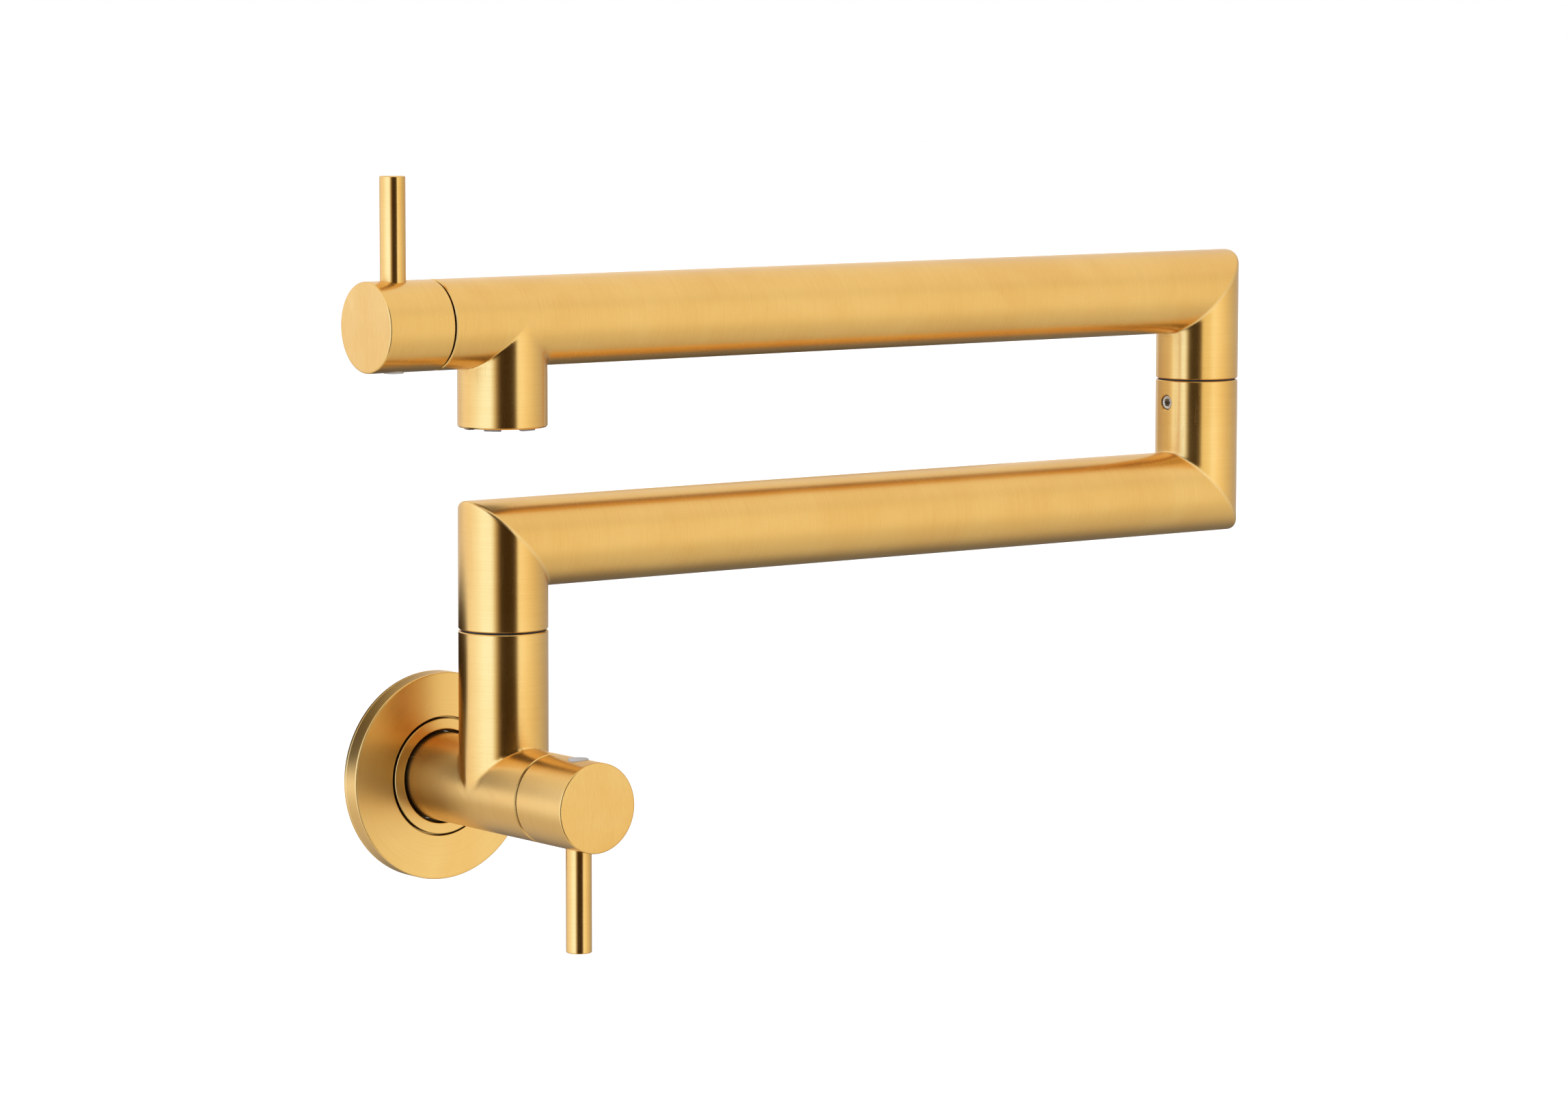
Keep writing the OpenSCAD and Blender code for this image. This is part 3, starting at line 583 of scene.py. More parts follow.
# %% [markdown]
# ## The wall flange and its collar
# The flange is a spun cap that hides the hole in the wall. It is a closed ring: the profile
# goes round its front, its rim and the hollow behind it, and comes back to its start. The
# collar is a second ring that slides on the housing inside it.

# %% Flange
def give_faces(piece, material, test):
    """Gives a finish to the faces that pass the test on their middle and their normal."""
    if material.name not in piece.data.materials:
        piece.data.materials.append(material)
    slot = list(piece.data.materials).index(material)
    for face in piece.data.polygons:
        if test(face.center / MM, face.normal):
            face.material_index = slot


def finish_piece(piece, body, replaced):
    """Smooths the curved faces, and says what the piece rides on and which node it replaces."""
    take(piece)
    bpy.ops.object.shade_smooth_by_angle(angle=math.radians(30))
    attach(piece, body)
    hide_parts(replaced)
    measure(piece)


flange = turned("flange_cap", [
    (6.7, 19.05, 0.25), (6.7, 33.0, 0.5), (1.3, 33.0, 0), (1.15, 32.88, 0), (1.0, 33.0, 0),
    (0.0, 33.0, 0.25), (0.0, 31.0, 0), (2.4, 31.0, 0), (2.4, 28.9, 0), (4.1, 28.9, 0),
    (4.1, 19.05, 0)], ends="ring", finish=gold_y)
stand(flange, "-Y")
give_faces(flange, gold_disc, lambda spot, way: abs(way.y) > 0.5)
# the wall of the flange's hole is painted dark, as painted shade in the gap round the collar
give_faces(flange, gap_shade_brass, lambda spot, way: spot.xz.length < 19.2 and abs(way.y) < 0.3)
finish_piece(flange, "inlet", "wall_flange")

# %% Collar
collar = turned("sliding_collar", [
    (7.2, 15.0, 0.3), (7.2, 18.42, 0.4), (4.0, 18.42, 0), (4.0, 21.7, 0.2), (2.4, 21.7, 0.2),
    (2.4, 14.08, 0), (4.0, 14.08, 0), (4.0, 15.0, 0)], ends="ring", finish=gold_y)
stand(collar, "-Y")
give_faces(collar, gold_disc, lambda spot, way: abs(way.y) > 0.5)
# the collar's sides inside the flange and its bore are painted dark, as painted shade in the gaps
give_faces(collar, gap_shade_brass, lambda spot, way: spot.y > -6.3 and abs(way.y) < 0.3)
give_faces(collar, gap_shade_brass, lambda spot, way: spot.xz.length < 14.9)
finish_piece(collar, "inlet", "flange_collar")

# %% [markdown]
# ## Tees and elbows
# The tap's body is cut from equal tubes. Where two tubes of one size cross, they meet in two
# flat ellipses, so a tee is made by sawing both along the same two slanted planes, and an
# elbow by one slanted plane. Round a tee both tubes are given rings at the same distances
# from the crossing, so their vertices fall together on the crease, and the weld is closed.

# %% Rings for a tee
STEPS = [0.25 + 0.5 * step for step in range(35)]


def rings_round(middle):
    offsets = [-step for step in reversed(STEPS)] + STEPS
    return [(middle + offset, TUBE, 0) for offset in offsets]


def drop(piece, test):
    open_piece(piece)
    pick(piece, "FACE", test)
    bpy.ops.mesh.delete(type="FACE")
    close_piece()


def join_tee(run_piece, branch, crossing, run, up):
    """Saws both tubes along a V, and keeps the branch inside it and the run outside it."""
    crossing, run, up = Vector(crossing), Vector(run), Vector(up)

    def within(spot):
        off = spot - crossing
        return off.dot(up) > abs(off.dot(run))
    for piece in (run_piece, branch):
        for side in (-1, 1):
            saw(piece, crossing, (up + run * side).normalized())
    drop(run_piece, within)
    drop(branch, lambda spot: not within(spot))
    return weld(run_piece, branch)


# %% [markdown]
# A welded crease isn't razor sharp: the brazing fills it, and the belt rounds it over. The
# vertices near the crease are eased with the smooth tool, in a wide pass with few turns and
# then narrower ones, so that the fillet fades into the tubes.

# %% Ease a crease
REACH_OF_EASING = 22
ACROSS = 1.41


def ease(piece, crossing, run, up, passes, where=lambda off: True):
    crossing, run, up = Vector(crossing), Vector(run), Vector(up)
    open_piece(piece)
    for width, turns in passes:
        def near(spot):
            off = spot - crossing
            rise = off.dot(up)
            beside = abs(rise - abs(off.dot(run))) < width * ACROSS
            return rise > -width and beside and off.length < REACH_OF_EASING and where(off)
        pick(piece, "VERT", near)
        bpy.ops.mesh.vertices_smooth(factor=0.5, repeat=turns)
    close_piece()


# %% [markdown]
# ## The inlet housing
# The housing stands out from the wall along -Y, holds the wall valve, and carries the post
# up to the first swivel. Its two tubes are made with chamfered ends and joined in a tee.

# %% Housing and post
back, front = 1.5, VALVE_REACH - HALF_GAP - POST_Y
housing = turned("inlet_housing", [(back, TUBE - EDGE, 0), (back + EDGE, TUBE, 0)]
                 + rings_round(-POST_Y) + [(front - EDGE, TUBE, 0), (front, TUBE - EDGE, 0)],
                 ends="open", finish=gold_y)
stand(housing, "-Y")
post_top = WALL_JOINT - HALF_GAP
post = turned("post", [(-1, TUBE, 0)] + [(step, TUBE, 0) for step in STEPS]
              + [(WALL_SCREW - 3, TUBE, 0), (WALL_SCREW + 3, TUBE, 0),
                 (post_top - EDGE, TUBE, 0), (post_top, TUBE - EDGE, 0)],
              ends="open", finish=gold_z)
stand(post, "+Z", (0, POST_Y, 0))
wall_tee = ((0, POST_Y, 0), (0, 1, 0), (0, 0, 1))
housing = join_tee(housing, post, *wall_tee)
ease(housing, *wall_tee, [(1.2, 4), (0.7, 4)])
ease(housing, *wall_tee, [(2.4, 10), (1.4, 8)], where=lambda off: off.z < 4.5)
fill(housing)
measure(housing)

# %% [markdown]
# The waterways are drilled as on the machine: the valve's bore from the front, the waterway
# and the nipple's socket from the back, the outlet up through the post, and the locking
# screw's hole from the side. The screw's hole gets a small countersink.

# %% Bores of the housing
def drill_for_screw(piece, spot, way):
    """Drills a locking screw's hole out of a leg's axis, and countersinks it."""
    def at(depth):
        return [middle + step * depth for middle, step in zip(spot, way)]
    drill(piece, 2.5, at(11), at(15), brass, sides=32)
    drill(piece, 2.5, at(13.6), at(14.2), gold_z, end_radius=3.1, sides=32)


drill(housing, CARTRIDGE_BORE, (0, -30, 0), (0, -67, 0), brass)
drill(housing, INLET_BORE, (0, -13, 0), (0, -31, 0), brass)
drill(housing, 10.5575, (0, -1, 0), (0, -13.6, 0), brass)
drill(housing, OUTLET_BORE, (0, POST_Y, 0), (0, POST_Y, 29.5), brass)
drill(housing, BORE, (0, POST_Y, 28.6), (0, POST_Y, 50.5), brass)
drill_for_screw(housing, (0, POST_Y, WALL_SCREW), (0, 1, 0))
weld(housing)
finish_piece(housing, "inlet", "inlet_body")

# %% [markdown]
# ## The lower arm
# A short leg stands on the wall swivel, the arm runs along X, and a riser goes up to the
# elbow swivel. Each is a tube with one chamfered end, sawn at 45 degrees where it meets the
# next. The same three tubes at the bore's radius make a core, which is taken out of the
# filled arm, so that the inside has the mitres of the real bent run of tube too.

# %% Legs and arms as plain tubes
def leg(name, bottom, top, x, radius, cut_bottom=0, cut_top=0, extra=()):
    """An upright tube, whose ends may be chamfered, with extra rings at some heights."""
    corners = [(bottom, radius - cut_bottom, 0)]
    if cut_bottom:
        corners.append((bottom + cut_bottom, radius, 0))
    corners += [(height, radius, 0) for height in extra]
    if cut_top:
        corners.append((top - cut_top, radius, 0))
    corners.append((top, radius - cut_top, 0))
    piece = turned(name, corners, ends="open", finish=gold_z)
    return stand(piece, "+Z", (x, POST_Y, 0))


def mitre(piece, x, z, slope, keep, ring=1.3):
    """Saws a tube's end off by a sloping plane through (x, z), and rings it beside the cut."""
    normal = Vector((slope, 0, 1)).normalized()
    side = 1 if keep == "front" else -1
    saw(piece, (x, POST_Y, z), normal, keep)
    saw(piece, Vector((x, POST_Y, z)) + normal * ring * side, normal)


def lower_skin(name, radius, cut, over=0):
    """The lower arm's three tubes. Its core is made longer at both ends, by so much over."""
    down = leg(name, WALL_JOINT + HALF_GAP - over, LOWER_AXIS + SPARE, 0, radius, cut_bottom=cut)
    mitre(down, 0, LOWER_AXIS, 1, "back")
    across = turned(name + "_run", [(-SPARE, radius, 0), (ELBOW_X + SPARE, radius, 0)],
                    ends="open", finish=gold_x)
    stand(across, "+X", (0, POST_Y, LOWER_AXIS))
    mitre(across, 0, LOWER_AXIS, 1, "front")
    mitre(across, ELBOW_X, LOWER_AXIS, 1, "back")
    riser = leg(name + "_riser", LOWER_AXIS - SPARE, ELBOW_JOINT - HALF_GAP + over, ELBOW_X,
                radius, cut_top=cut, extra=[ELBOW_SCREW - 3.2, ELBOW_SCREW + 3.2] if cut else [])
    mitre(riser, ELBOW_X, LOWER_AXIS, 1, "front")
    return weld(down, across, riser)


lower = lower_skin("lower_arm_tube", TUBE, EDGE)
measure(lower)

# %% [markdown]
# ### Rounding the elbows
# The weld along each mitre was ground over: almost sharp inside the bend and along its
# sides, and clearly rounded at the outer corner. A Bevel modifier rounds the edges that have
# a bevel weight, and the weight rises towards the outer corner. The faces beside each mitre
# then get the burnished finish, whose paler colour is a painted highlight along the crease.

# %% Round a mitre
def round_mitres(piece, corners, width, side=0.6):
    """Each corner is (x, z, slope, outward), where outward points to the outer corner."""
    weights = piece.data.attributes.new("bevel_weight_edge", "FLOAT", "EDGE")
    points = piece.data.vertices
    for edge in piece.data.edges:
        ends = [points[index].co / MM for index in edge.vertices]
        for x, z, slope, outward in corners:
            if all(abs((end.x - x) * slope + end.z - z) < 0.01 for end in ends):
                middle = (ends[0] + ends[1]) / 2
                far = (middle.x - x) * outward[0] + (middle.z - z) * outward[1]
                rise = max(0, far / (2 * TUBE)) ** 3
                weights.data[edge.index].value = side / width + (1 - side / width) * rise
    modify(piece, "BEVEL", limit_method="WEIGHT", offset_type="OFFSET", width=width * MM,
           segments=5, use_clamp_overlap=False)
    # the faces along each mitre get the paler gold, a painted highlight along the crease
    give_faces(piece, gold_weld_with_highlight, lambda spot, way: any(
        abs((spot.x - x) * slope + spot.z - z) < side * 1.3 for x, z, slope, outward in corners))


round_mitres(lower, [(0, LOWER_AXIS, 1, (-1, 1)), (ELBOW_X, LOWER_AXIS, 1, (1, -1))], width=1.0)
measure(lower)

# %% [markdown]
# The filled arm is now hollowed by its core, and the screw's hole is drilled from the side
# of the riser, with the same small countersink as on the post.

# %% Hollow the lower arm
def take_out(piece, core):
    """Fills a core's ends, makes its skin bare brass and subtracts it from the piece."""
    fill(core)
    core.data.materials.clear()
    core.data.materials.append(brass)
    core.data.polygons.foreach_set("material_index", [0] * len(core.data.polygons))
    combine(piece, core)


fill(lower)
take_out(lower, lower_skin("lower_core", BORE, 0, over=1))
drill_for_screw(lower, (ELBOW_X, POST_Y, ELBOW_SCREW), (-1, 0, 0))
finish_piece(lower, "lower_arm", "lower_arm")

# %% [markdown]
# ## The upper arm
# The upper arm runs from the spout valve to the elbow, where a leg goes down to the swivel.
# The spout hangs from it in a tee, right below the valve. The left side of that tee is crisp
# in the photograph, and its front and right side are filled and rounded.

# %% Upper arm, leg and spout
run = turned("upper_arm_tube", [(-VALVE_REACH + HALF_GAP, TUBE - EDGE, 0),
                                (-VALVE_REACH + HALF_GAP + EDGE, TUBE, 0)]
             + rings_round(0) + [(ELBOW_X + SPARE, TUBE, 0)], ends="open", finish=gold_x)
stand(run, "+X", (0, POST_Y, UPPER_AXIS))
mitre(run, ELBOW_X, UPPER_AXIS, -1, "front")
hanging = leg("upper_leg", ELBOW_JOINT + HALF_GAP, UPPER_AXIS + SPARE, ELBOW_X, TUBE,
              cut_bottom=EDGE)
mitre(hanging, ELBOW_X, UPPER_AXIS, -1, "back")
spout = leg("spout", SPOUT_RIM, UPPER_AXIS + 1, 0, TUBE, cut_bottom=0.5,
            extra=[UPPER_AXIS - step for step in reversed(STEPS)])
spout_tee = ((0, POST_Y, UPPER_AXIS), (1, 0, 0), (0, 0, -1))
upper = join_tee(run, spout, *spout_tee)
upper = weld(upper, hanging)
ease(upper, *spout_tee, [(0.8, 3)])
ease(upper, *spout_tee, [(3.2, 8), (2.2, 10), (1.4, 8)], where=lambda off: off.x > -2.5)
round_mitres(upper, [(ELBOW_X, UPPER_AXIS, -1, (1, 1))], width=1.7)
fill(upper)
measure(upper)

# %% Bores of the upper arm
core_run = turned("upper_core", [(15.5, BORE, 0), (ELBOW_X + SPARE, BORE, 0)], ends="open")
stand(core_run, "+X", (0, POST_Y, UPPER_AXIS))
mitre(core_run, ELBOW_X, UPPER_AXIS, -1, "front")
core_leg = leg("upper_core_leg", ELBOW_JOINT - 1, UPPER_AXIS + SPARE, ELBOW_X, BORE)
mitre(core_leg, ELBOW_X, UPPER_AXIS, -1, "back")
take_out(upper, weld(core_run, core_leg))
drill(upper, CARTRIDGE_BORE, (-27, POST_Y, UPPER_AXIS), (10.5, POST_Y, UPPER_AXIS), brass)
drill(upper, INLET_BORE, (10, POST_Y, UPPER_AXIS), (16, POST_Y, UPPER_AXIS), brass)
drill(upper, OUTLET_BORE, (0, POST_Y, 123), (0, POST_Y, UPPER_AXIS), brass)
drill(upper, BORE, (0, POST_Y, 112.5), (0, POST_Y, SPOUT_RIM + 11), brass)
finish_piece(upper, "upper_arm", "upper_arm")

# %% [markdown]
# ## Handles and levers
# A handle is a short bar of the same tube size, bored for the spindle and hollow at its
# back. It is modelled once, standing on Z with its lever along -Y, and copied for the other
# valve. A pin with a chamfered tip screws into its side, and a plug hides the screw opposite.

# %% Handle
handle_end = VALVE_REACH + 23.8
lever_height = handle_end - 10
spindle_end = lever_height + 3.9
handle_start = VALVE_REACH + HALF_GAP
handle = turned("handle", [
    (spindle_end, 4.05, 0), (handle_start + 6, 4.05, 0), (handle_start + 6, 11.0, 0),
    (handle_start, 11.0, 0.2), (handle_start, TUBE - EDGE, 0), (handle_start + EDGE, TUBE, 0),
    (lever_height - 5.2, TUBE, 0), (lever_height + 5.2, TUBE, 0),
    (handle_end, TUBE, 0.55), (handle_end, 9.0, 0)], finish=gold_z)
for radius, near, far in ((4.05, -12.8, -15), (3.05, -6.2, -13), (2.5, 0, 11.5), (3.23, 11, 15)):
    drill(handle, radius, (0, near, lever_height), (0, far, lever_height), brass, sides=48)
measure(handle)

# %% Lever and plug
lever = turned("lever", [(6.35, 3.0, 0), (12.85, 3.0, 0), (12.85, 4.0, 0.12), (45.7, 4.0, 0.42),
                         (45.7, 2.2, 0)], sides=64, finish=gold_z)
measure(lever)
plug = turned("plug", [(11.05, 3.15, 0), (13.5, 3.15, 0), (14.3, 3.12, 0.3), (14.26, 1.6, 0)],
              sides=48, finish=plug_plastic)
open_piece(plug)
pick(plug, "VERT", lambda spot: spot.z > 13.7)
bpy.ops.transform.vertex_random(offset=0.00007, uniform=0.6, normal=0.0, seed=4)
bpy.ops.mesh.vertices_smooth(factor=0.5, repeat=2)
close_piece()
measure(plug)

# %% [markdown]
# The lever and the plug are turned on Z, so each is first tipped across the handle: the
# lever to -Y and the plug to +Y. Then each set is carried to its valve. A turn matrix says
# where the handle's own X, Y and Z go: the wall lever hangs down, the spout lever stands up.

# %% Carry the sets to their valves
def placed(spot, degrees=0, axis="Z"):
    return Matrix.Translation(Vector(spot) * MM) @ Matrix.Rotation(
        math.radians(degrees), 4, axis)


AT_WALL = placed((0, POST_Y, 0)) @ Matrix(
    ((1, 0, 0, 0), (0, 0, -1, 0), (0, 1, 0, 0), (0, 0, 0, 1)))
AT_SPOUT = placed((0, POST_Y, UPPER_AXIS)) @ Matrix(
    ((0, 0, -1, 0), (1, 0, 0, 0), (0, -1, 0, 0), (0, 0, 0, 1)))
LEVER_TIP = placed((0, 0, lever_height), 90, "X")
PLUG_TIP = placed((0, 0, lever_height), -90, "X")


def carry(piece, name, place, finish=None):
    """Copies a piece with its own mesh, moves it and applies the move."""
    copy = piece.copy()
    copy.data = piece.data.copy()
    copy.name = name
    scene.collection.objects.link(copy)
    take(copy)
    copy.matrix_world = place
    apply_place()
    if finish:
        copy.data.materials[0] = finish
    return copy


for valve, place, side, end, way in (
        ("wall", AT_WALL, gold_y, gold_wall_end, Vector((0, -1, 0))),
        ("spout", AT_SPOUT, gold_x, gold_spout_end, Vector((-1, 0, 0)))):
    body = valve + "_valve_handle"
    knob = carry(handle, valve + "_knob", place, side)
    give_faces(knob, end, lambda spot, normal: normal.dot(way) > 0.9)
    finish_piece(knob, body, valve + "_handle")
    pin = carry(lever, valve + "_lever_pin", place @ LEVER_TIP)
    finish_piece(pin, body, valve + "_lever")
    cap = carry(plug, valve + "_screw_plug", place @ PLUG_TIP)
    finish_piece(cap, body, valve + "_handle_plug")
for pattern in (handle, lever, plug):
    bpy.data.objects.remove(pattern)

# %% [markdown]
# ## The locking screws
# A headless screw keeps each swivel from lifting out. Only its end shows: a bright ring with
# a hexagon socket. It is turned with a chamfer and a dog point, and the socket is cut by a
# six sided drill.

# %% Screw
screw = turned("screw", [(10.65, 1.936, 0.2), (11.65, 1.936, 0), (12.0, 2.42, 0), (13.2, 2.42, 0),
                         (13.5, 2.2, 0.06), (13.5, 1.75, 0.1), (13.38, 1.55, 0)],
               sides=48, finish=steel)
cut_hexagon(screw, 2.5, (0, 0, 11.3), (0, 0, 14), steel)
for swivel, body, spot, axis in (("elbow", "lower_arm", (ELBOW_X, POST_Y, ELBOW_SCREW), "Y"),
                                 ("wall", "inlet", (0, POST_Y, WALL_SCREW), "X")):
    copy = carry(screw, swivel + "_lock_screw", placed(spot, -90, axis))
    finish_piece(copy, body, swivel + "_swivel_screw")
bpy.data.objects.remove(screw)

# %% [markdown]
# ## The inlet nipple
# The nipple is a turned blank with a thread cut on it. The thread's profile of one pitch is
# drawn from a single point and swept by a Screw modifier, which gives a long threaded bar.
# Where the blank and the bar overlap is the nipple, and then it is bored and given its key.

# %% Threaded bar
PITCH = 1.814
CREST, ROOT = 10.4775, 9.3155
clear_selection()
bpy.ops.mesh.primitive_plane_add(size=0.001, location=(0, 0, 0))
thread = bpy.context.object
thread.name = "thread"
open_piece(thread, "SELECT")
bpy.ops.mesh.merge(type="CENTER")
bpy.ops.transform.translate(value=(ROOT * MM, 0, -24 * MM))
slope = [(0.10, ROOT), (0.28, ROOT + 0.25), (0.72, CREST - 0.25), (0.90, CREST), (1.09, CREST),
         (1.27, CREST - 0.25), (1.71, ROOT + 0.25), (PITCH, ROOT)]
before = (0.0, ROOT)
for rise, radius in slope:
    step = ((radius - before[1]) * MM, 0, (rise - before[0]) * MM)
    bpy.ops.mesh.extrude_vertices_move(TRANSFORM_OT_translate={"value": step})
    before = (rise, radius)
close_piece()
modify(thread, "SCREW", axis="Z", angle=2 * math.pi, screw_offset=PITCH * MM, iterations=26,
       steps=72, render_steps=72, use_merge_vertices=True, merge_threshold=MERGE)
weld(thread)
for height, keep in ((-18.5, "front"), (14.5, "back")):
    saw(thread, (0, 0, height), (0, 0, 1), keep)
fill(thread)
thread.data.materials.append(brass)
measure(thread)

# %% Nipple
nipple = turned("inlet_thread", [
    (-16, CREST - 1, 0), (-15, CREST, 0), (0.4, CREST, 0), (0.4, 9.5775, 0), (1.5, 9.5775, 0),
    (1.5, CREST, 0), (11.5, CREST, 0), (12.5, CREST - 1, 0)], sides=96, finish=brass)
combine(nipple, thread, "INTERSECT")
drill(nipple, INLET_BORE, (0, 0, -17), (0, 0, 13), brass)
cut_hexagon(nipple, 14, (0, 0, -17), (0, 0, -8), brass)
stand(nipple, "-Y")
finish_piece(nipple, "inlet", "inlet_nipple")

# %% [markdown]
# ## The aerator's ring
# The spout ends in a plastic ring with six lugs, which a key grips to change the aerator.
# The ring has 120 sides, so that every lug is nine of them wide. The lugs are extruded
# downwards from the faces that lie within their angles.

# %% Aerator ring
LUG = 1.6
ring_floor = SPOUT_RIM - 0.65 + LUG
ring_top = SPOUT_RIM + 9.2
aerator = turned("aerator_ring", [(ring_floor, 9.82, 0), (ring_floor, 11.92, 0),
                                  (ring_top, 11.92, 0), (ring_top, 9.82, 0)],
                 sides=120, ends="ring", finish=lug_plastic)
take(aerator)
aerator.rotation_euler = Euler((0, 0, math.radians(2.5)))
apply_place()


def in_lug(spot):
    angle = math.degrees(math.atan2(spot.y, spot.x)) % 60
    return spot.z < ring_floor + 0.01 and 26.6 < angle < 53.4


open_piece(aerator)
pick(aerator, "FACE", in_lug)
bpy.ops.mesh.extrude_region_move(TRANSFORM_OT_translate={"value": (0, 0, -LUG * MM)})
bpy.ops.mesh.select_all(action="SELECT")
bpy.ops.mesh.normals_make_consistent(inside=False)
close_piece()
modify(aerator, "BEVEL", width=0.12 * MM, segments=2, angle_limit=math.radians(50))
stand(aerator, "+Z", (0, POST_Y, 0))
finish_piece(aerator, "upper_arm", "aerator_housing")

# %% [markdown]
# ## The pieces that keep their CAD shape
# The inside of the valves and swivels is simple turned work, and the CAD solids show it
# well. They keep their shape and only get the finish of their stuff.

# %% Finishes for the CAD nodes
STUFFS = {"plain_brass": brass, "steel": steel, "ceramic": ceramic, "rubber": rubber,
          "black_plastic": black_plastic, "grey_plastic": grey_plastic, "brushed_gold": gold_z}
slots = {part["node"]: part["material_slot"] for part in frame["record"]["subparts"]}
for name, node in nodes.items():
    node.data.materials.clear()
    node.data.materials.append(STUFFS[slots[name]])
    if not node.hide_viewport:
        take(node)
        bpy.ops.object.shade_smooth_by_angle(angle=math.radians(30))
print("CAD nodes dressed:", len(nodes))

# %% [markdown]
# ## The room
# Polished metal shows its room, so the room is most of its look. The photographer put the
# tap in a white room that is brightest at the front left and darkest low down behind the tap.
# The world shader draws that room by direction only: a ramp round the horizon, a darker ramp
# round the ground, and an even ceiling. For the camera's own rays the room is plain white.

# %% Directions of the room
world = bpy.data.worlds.new("studio")
scene.world = world
world.use_nodes = True
tree = world.node_tree
sight = add(tree, "TexCoord", "Generated")
TO_CAMERA, TO_ITS_RIGHT = (-0.611, -0.7916, 0), (0.7916, -0.611, 0)
towards, sideways = (
    add(tree, "VectorMath", "Value", operation="DOT_PRODUCT", in_0=sight, in_1=way)
    for way in (TO_CAMERA, TO_ITS_RIGHT))
angle = add(tree, "Math", operation="ARCTAN2", in_0=sideways, in_1=towards)
share = remap(tree, angle, -math.pi, math.pi)
height = add(tree, "SeparateXYZ", "Z", in_0=sight)

# %% [markdown]
# The stops of both ramps are angles in degrees, from the way to the camera, positive to the
# right. A ramp holds no colour above one, so the light is stored as thirds and tripled later.

# %% Ramps round the room
HORIZON = [(-180, (1.0, 1.0, 1.0)), (-165, (0.80, 0.80, 0.84)), (-135, (0.86, 0.87, 0.92)),
           (-112, (1.12, 1.20, 1.50)), (-90, (1.12, 1.20, 1.48)), (-66, (1.20, 1.48, 2.10)),
           (-50, (1.28, 1.72, 2.80)), (-20, (1.28, 1.76, 2.95)), (0, (1.00, 0.98, 0.85)),
           (30, (1.05, 1.05, 0.92)), (44, (1.22, 1.36, 1.58)), (60, (1.16, 1.18, 1.18)),
           (75, (1.02, 1.01, 0.93)), (95, (0.83, 0.81, 0.76)), (120, (0.66, 0.65, 0.68)),
           (150, (0.60, 0.60, 0.66)), (170, (0.80, 0.81, 0.88)), (180, (1.0, 1.0, 1.0))]
GROUND = [(-180, (0.16, 0.16, 0.16)), (-165, (0.28, 0.28, 0.28)), (-150, (0.50, 0.50, 0.50)),
          (-130, (0.70, 0.69, 0.69)), (-60, (0.88, 0.89, 0.92)), (0, (0.85, 0.84, 0.80)),
          (80, (0.84, 0.83, 0.80)), (100, (0.74, 0.73, 0.71)), (118, (0.60, 0.59, 0.58)),
          (135, (0.44, 0.43, 0.43)), (160, (0.24, 0.24, 0.24)), (180, (0.16, 0.16, 0.16))]
THIRD = 1 / 3


def ramp(tree, value, stops, first=0, span=1, part=1):
    """A colour ramp by (value, colour) stops over a span, which keeps a part of each colour."""
    node = add_node(tree, "ValToRGB", in_0=value)
    elements = node.color_ramp.elements
    elements.remove(elements[1])
    for index, (at, colour) in enumerate(stops):
        place = (at - first) / span
        stop = elements[0] if index == 0 else elements.new(place)
        stop.position = place
        stop.color = (*(channel * part for channel in colour), 1)
    return node.outputs[0]


horizon = ramp(tree, share, HORIZON, -180, 360, THIRD)
ground = ramp(tree, share, GROUND, -180, 360, THIRD)
print("ramps:", len(HORIZON), "and", len(GROUND), "stops")

# %% [markdown]
# The ground takes over slowly in front of the tap and fast behind it, so the depth that is
# measured below the horizon is stretched for the directions that point away from the camera.

# %% Ground, ceiling and camera rays
rear = add(tree, "Math", operation="MULTIPLY_ADD", in_0=towards, in_1=-3.0, in_2=1.0)
stretch = add(tree, "Math", operation="MAXIMUM", in_0=rear, in_1=1.0)
depth = add(tree, "Math", operation="MULTIPLY", in_0=stretch, in_1=height)
downwards = remap(tree, depth, -0.18, -0.85, interpolation_type="SMOOTHSTEP")
upwards = remap(tree, height, 0.36, 0.66, interpolation_type="SMOOTHSTEP")
with_ground = mix_colours(tree, downwards, horizon, ground)
with_ceiling = mix_colours(tree, upwards, with_ground, (0.33, 0.33, 0.33))
tripled = mix_colours(tree, 1, with_ceiling, (3, 3, 3), blend="MULTIPLY")
seen = add(tree, "LightPath", "Is Camera Ray")
room = mix_colours(tree, seen, tripled, (1, 1, 1))
feed(tree, room, tree.nodes["Background"].inputs["Color"])
print("world:", world.name)

# %% [markdown]
# ## Three nets of gauze
# The tap stood close to dark things, which the metal shows at each place from another side:
# the gap between the lights, as a dark band down every upright tube, and the holder behind
# it, as a dark line along the post. A net filters light as tinted glass does and may thin out
# towards its edge, so the bands fade as they do in the photograph. Only reflections see them.

# %% Gauze
def gauze(name, origin, stretch, stops):
    """Filters by the distance in metres from an origin, after a stretch of each axis."""
    material, tree, shader, place = start_finish(name)
    tree.nodes.remove(shader)
    centred = scaled(tree, place, stretch, [-at * by for at, by in zip(origin, stretch)])
    distance = add(tree, "VectorMath", "Value", operation="LENGTH", in_0=centred)
    net = add(tree, "BsdfTransparent", in_0=ramp(tree, distance, stops))
    feed(tree, net, tree.nodes["Material Output"].inputs["Surface"])
    return material


def net_card(name, start, end, low, high, material):
    """Stands a card over the line from start to end, given as (x, y) in metres."""
    start, end = Vector((*start, 0)), Vector((*end, 0))
    clear_selection()
    bpy.ops.mesh.primitive_plane_add(
        size=1, location=(start + end) / 2 + Vector((0, 0, (low + high) / 2)),
        rotation=(math.radians(90), 0, math.atan2(end.y - start.y, end.x - start.x)))
    card = bpy.context.object
    card.name = name
    card.scale = ((end - start).length, high - low, 1)
    apply_place()
    card.data.materials.append(material)
    for kind in ("camera", "diffuse", "transmission", "volume_scatter", "shadow"):
        setattr(card, "visible_" + kind, False)
    print(card.name, "is", round((end - start).length, 3), "m wide")


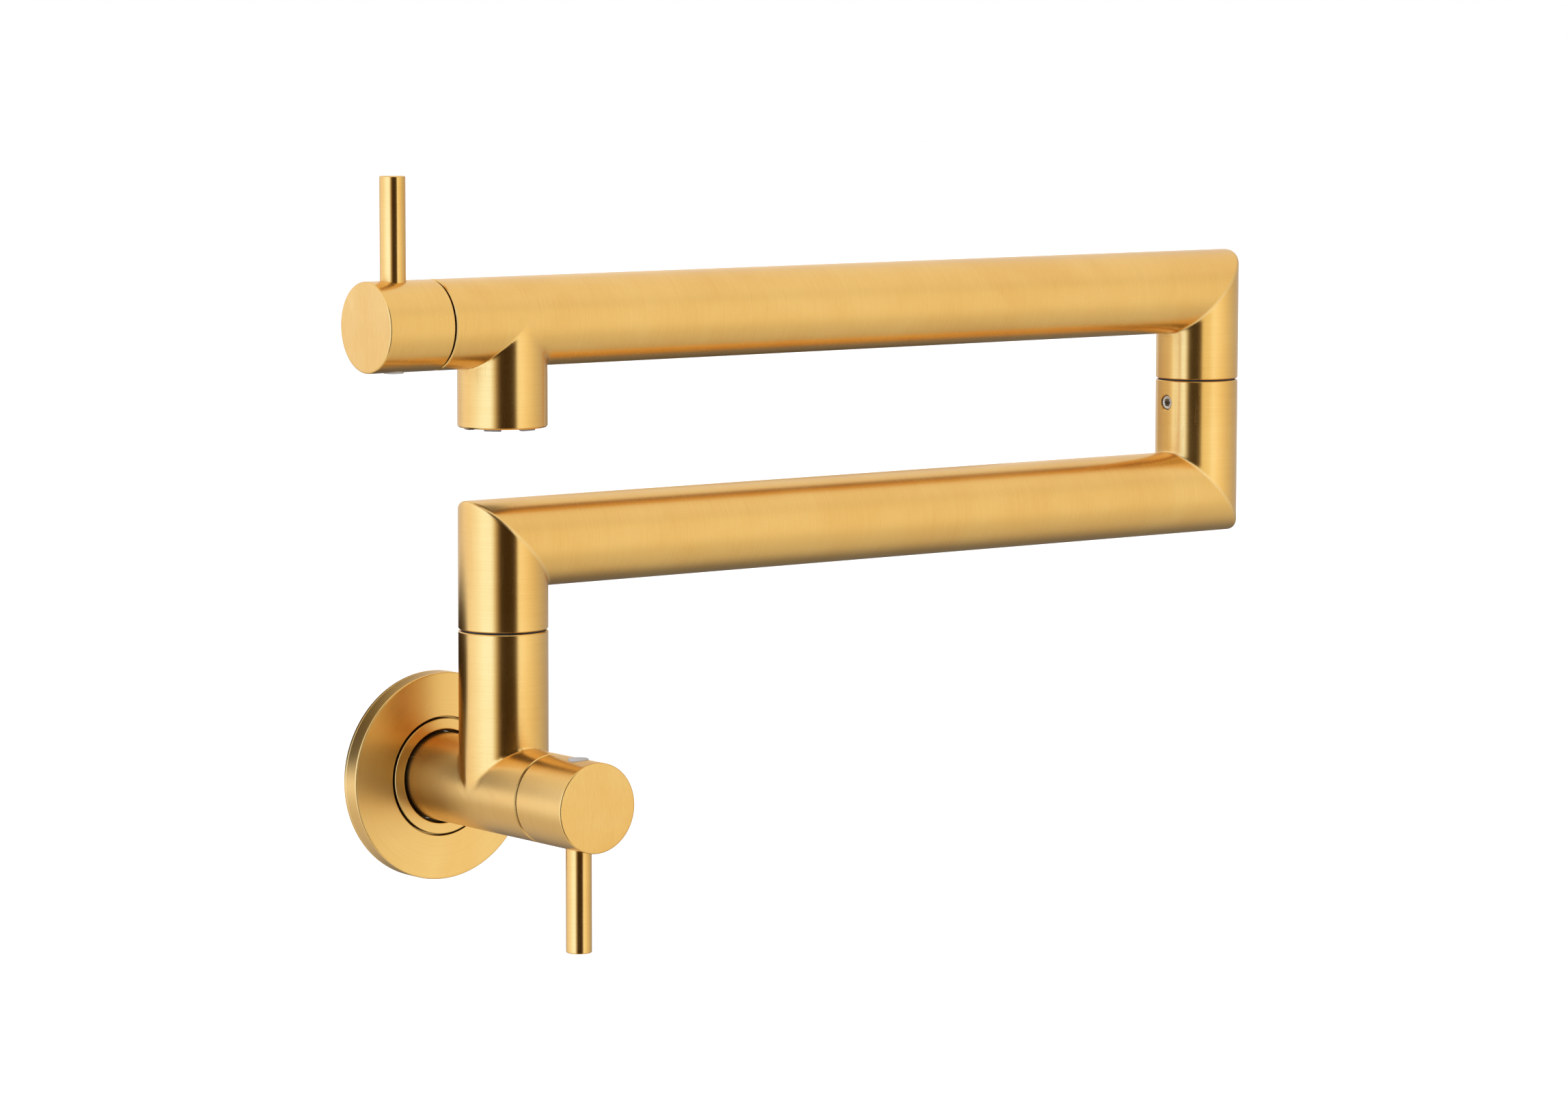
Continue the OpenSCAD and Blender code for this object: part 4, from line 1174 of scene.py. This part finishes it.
# %% Nets
CLEAR, DARK = (1, 1, 1), (0.038, 0.020, 0.004)
gap_net = gauze("gauze of the gap", (-0.338, -0.208, 0), (1, 1, 0), [
    (0.0, CLEAR), (0.054, (0.72, 0.55, 0.33)), (0.111, (0.22, 0.145, 0.08)), (0.154, DARK),
    (0.400, DARK), (0.450, (0.10, 0.06, 0.025)), (0.4965, (0.35, 0.26, 0.18))])
net_card("gap_between_lights", (-0.338, -0.208), (0.021, -0.551), -0.5, 0.55, gap_net)
holder_net = gauze("gauze of the holder", (-0.025, 0.030, 0.028), (1, 1, 1.6), [
    (0.0, DARK), (0.038, DARK), (0.062, CLEAR)])
net_card("holder", (-0.090, 0.030), (0.040, 0.030), -0.012, 0.068, holder_net)
side_net = gauze("gauze behind the arms", (0.04, 0.05, 0), (1, 1, 0), [
    (0.0, CLEAR), (0.06, (0.80, 0.70, 0.52)), (0.13, (0.68, 0.58, 0.41)),
    (0.20, (0.66, 0.56, 0.43)), (0.24, (0.75, 0.68, 0.60))])
net_card("behind_the_arms", (0.04, 0.05), (0.28, 0.05), 0.04, 0.14, side_net)

# %% [markdown]
# ## The floor
# A wide pale floor lies well below the tap, so other views show a soft shadow under it. Its
# colour is lifted to white for the camera, while the shadow still darkens it. Seen from below
# the floor is clear, so that the underside of the tap can be looked at too.

# %% Floor
clear_selection()
bpy.ops.mesh.primitive_plane_add(size=30, location=(0.14, -0.04, -0.35))
floor = bpy.context.object
floor.name = "studio_floor"
paint, tree, shader, place = start_finish("pale floor")
mottle = use_group(tree, grain, scaled(tree, place, (0.02, 0.02, 0.02)))["Cloud"]
seen = add(tree, "LightPath", "Is Camera Ray")
lift = add(tree, "Math", operation="MULTIPLY", in_0=seen, in_1=0.42)
pale = mix_colours(tree, mottle, (0.80, 0.80, 0.80), (0.84, 0.84, 0.84))
feed_all(tree, shader, {"Base Color": pale, "Roughness": 0.9, "Emission Color": (1, 1, 1),
                        "Emission Strength": lift})
below = add(tree, "NewGeometry", "Backfacing")
clear = add(tree, "BsdfTransparent")
one_way = add(tree, "MixShader", in_0=below, in_1=shader.outputs[0], in_2=clear)
feed(tree, one_way, tree.nodes["Material Output"].inputs["Surface"])
floor.data.materials.append(paint)
floor.visible_glossy = False
print("floor at", floor.location.z, "m")
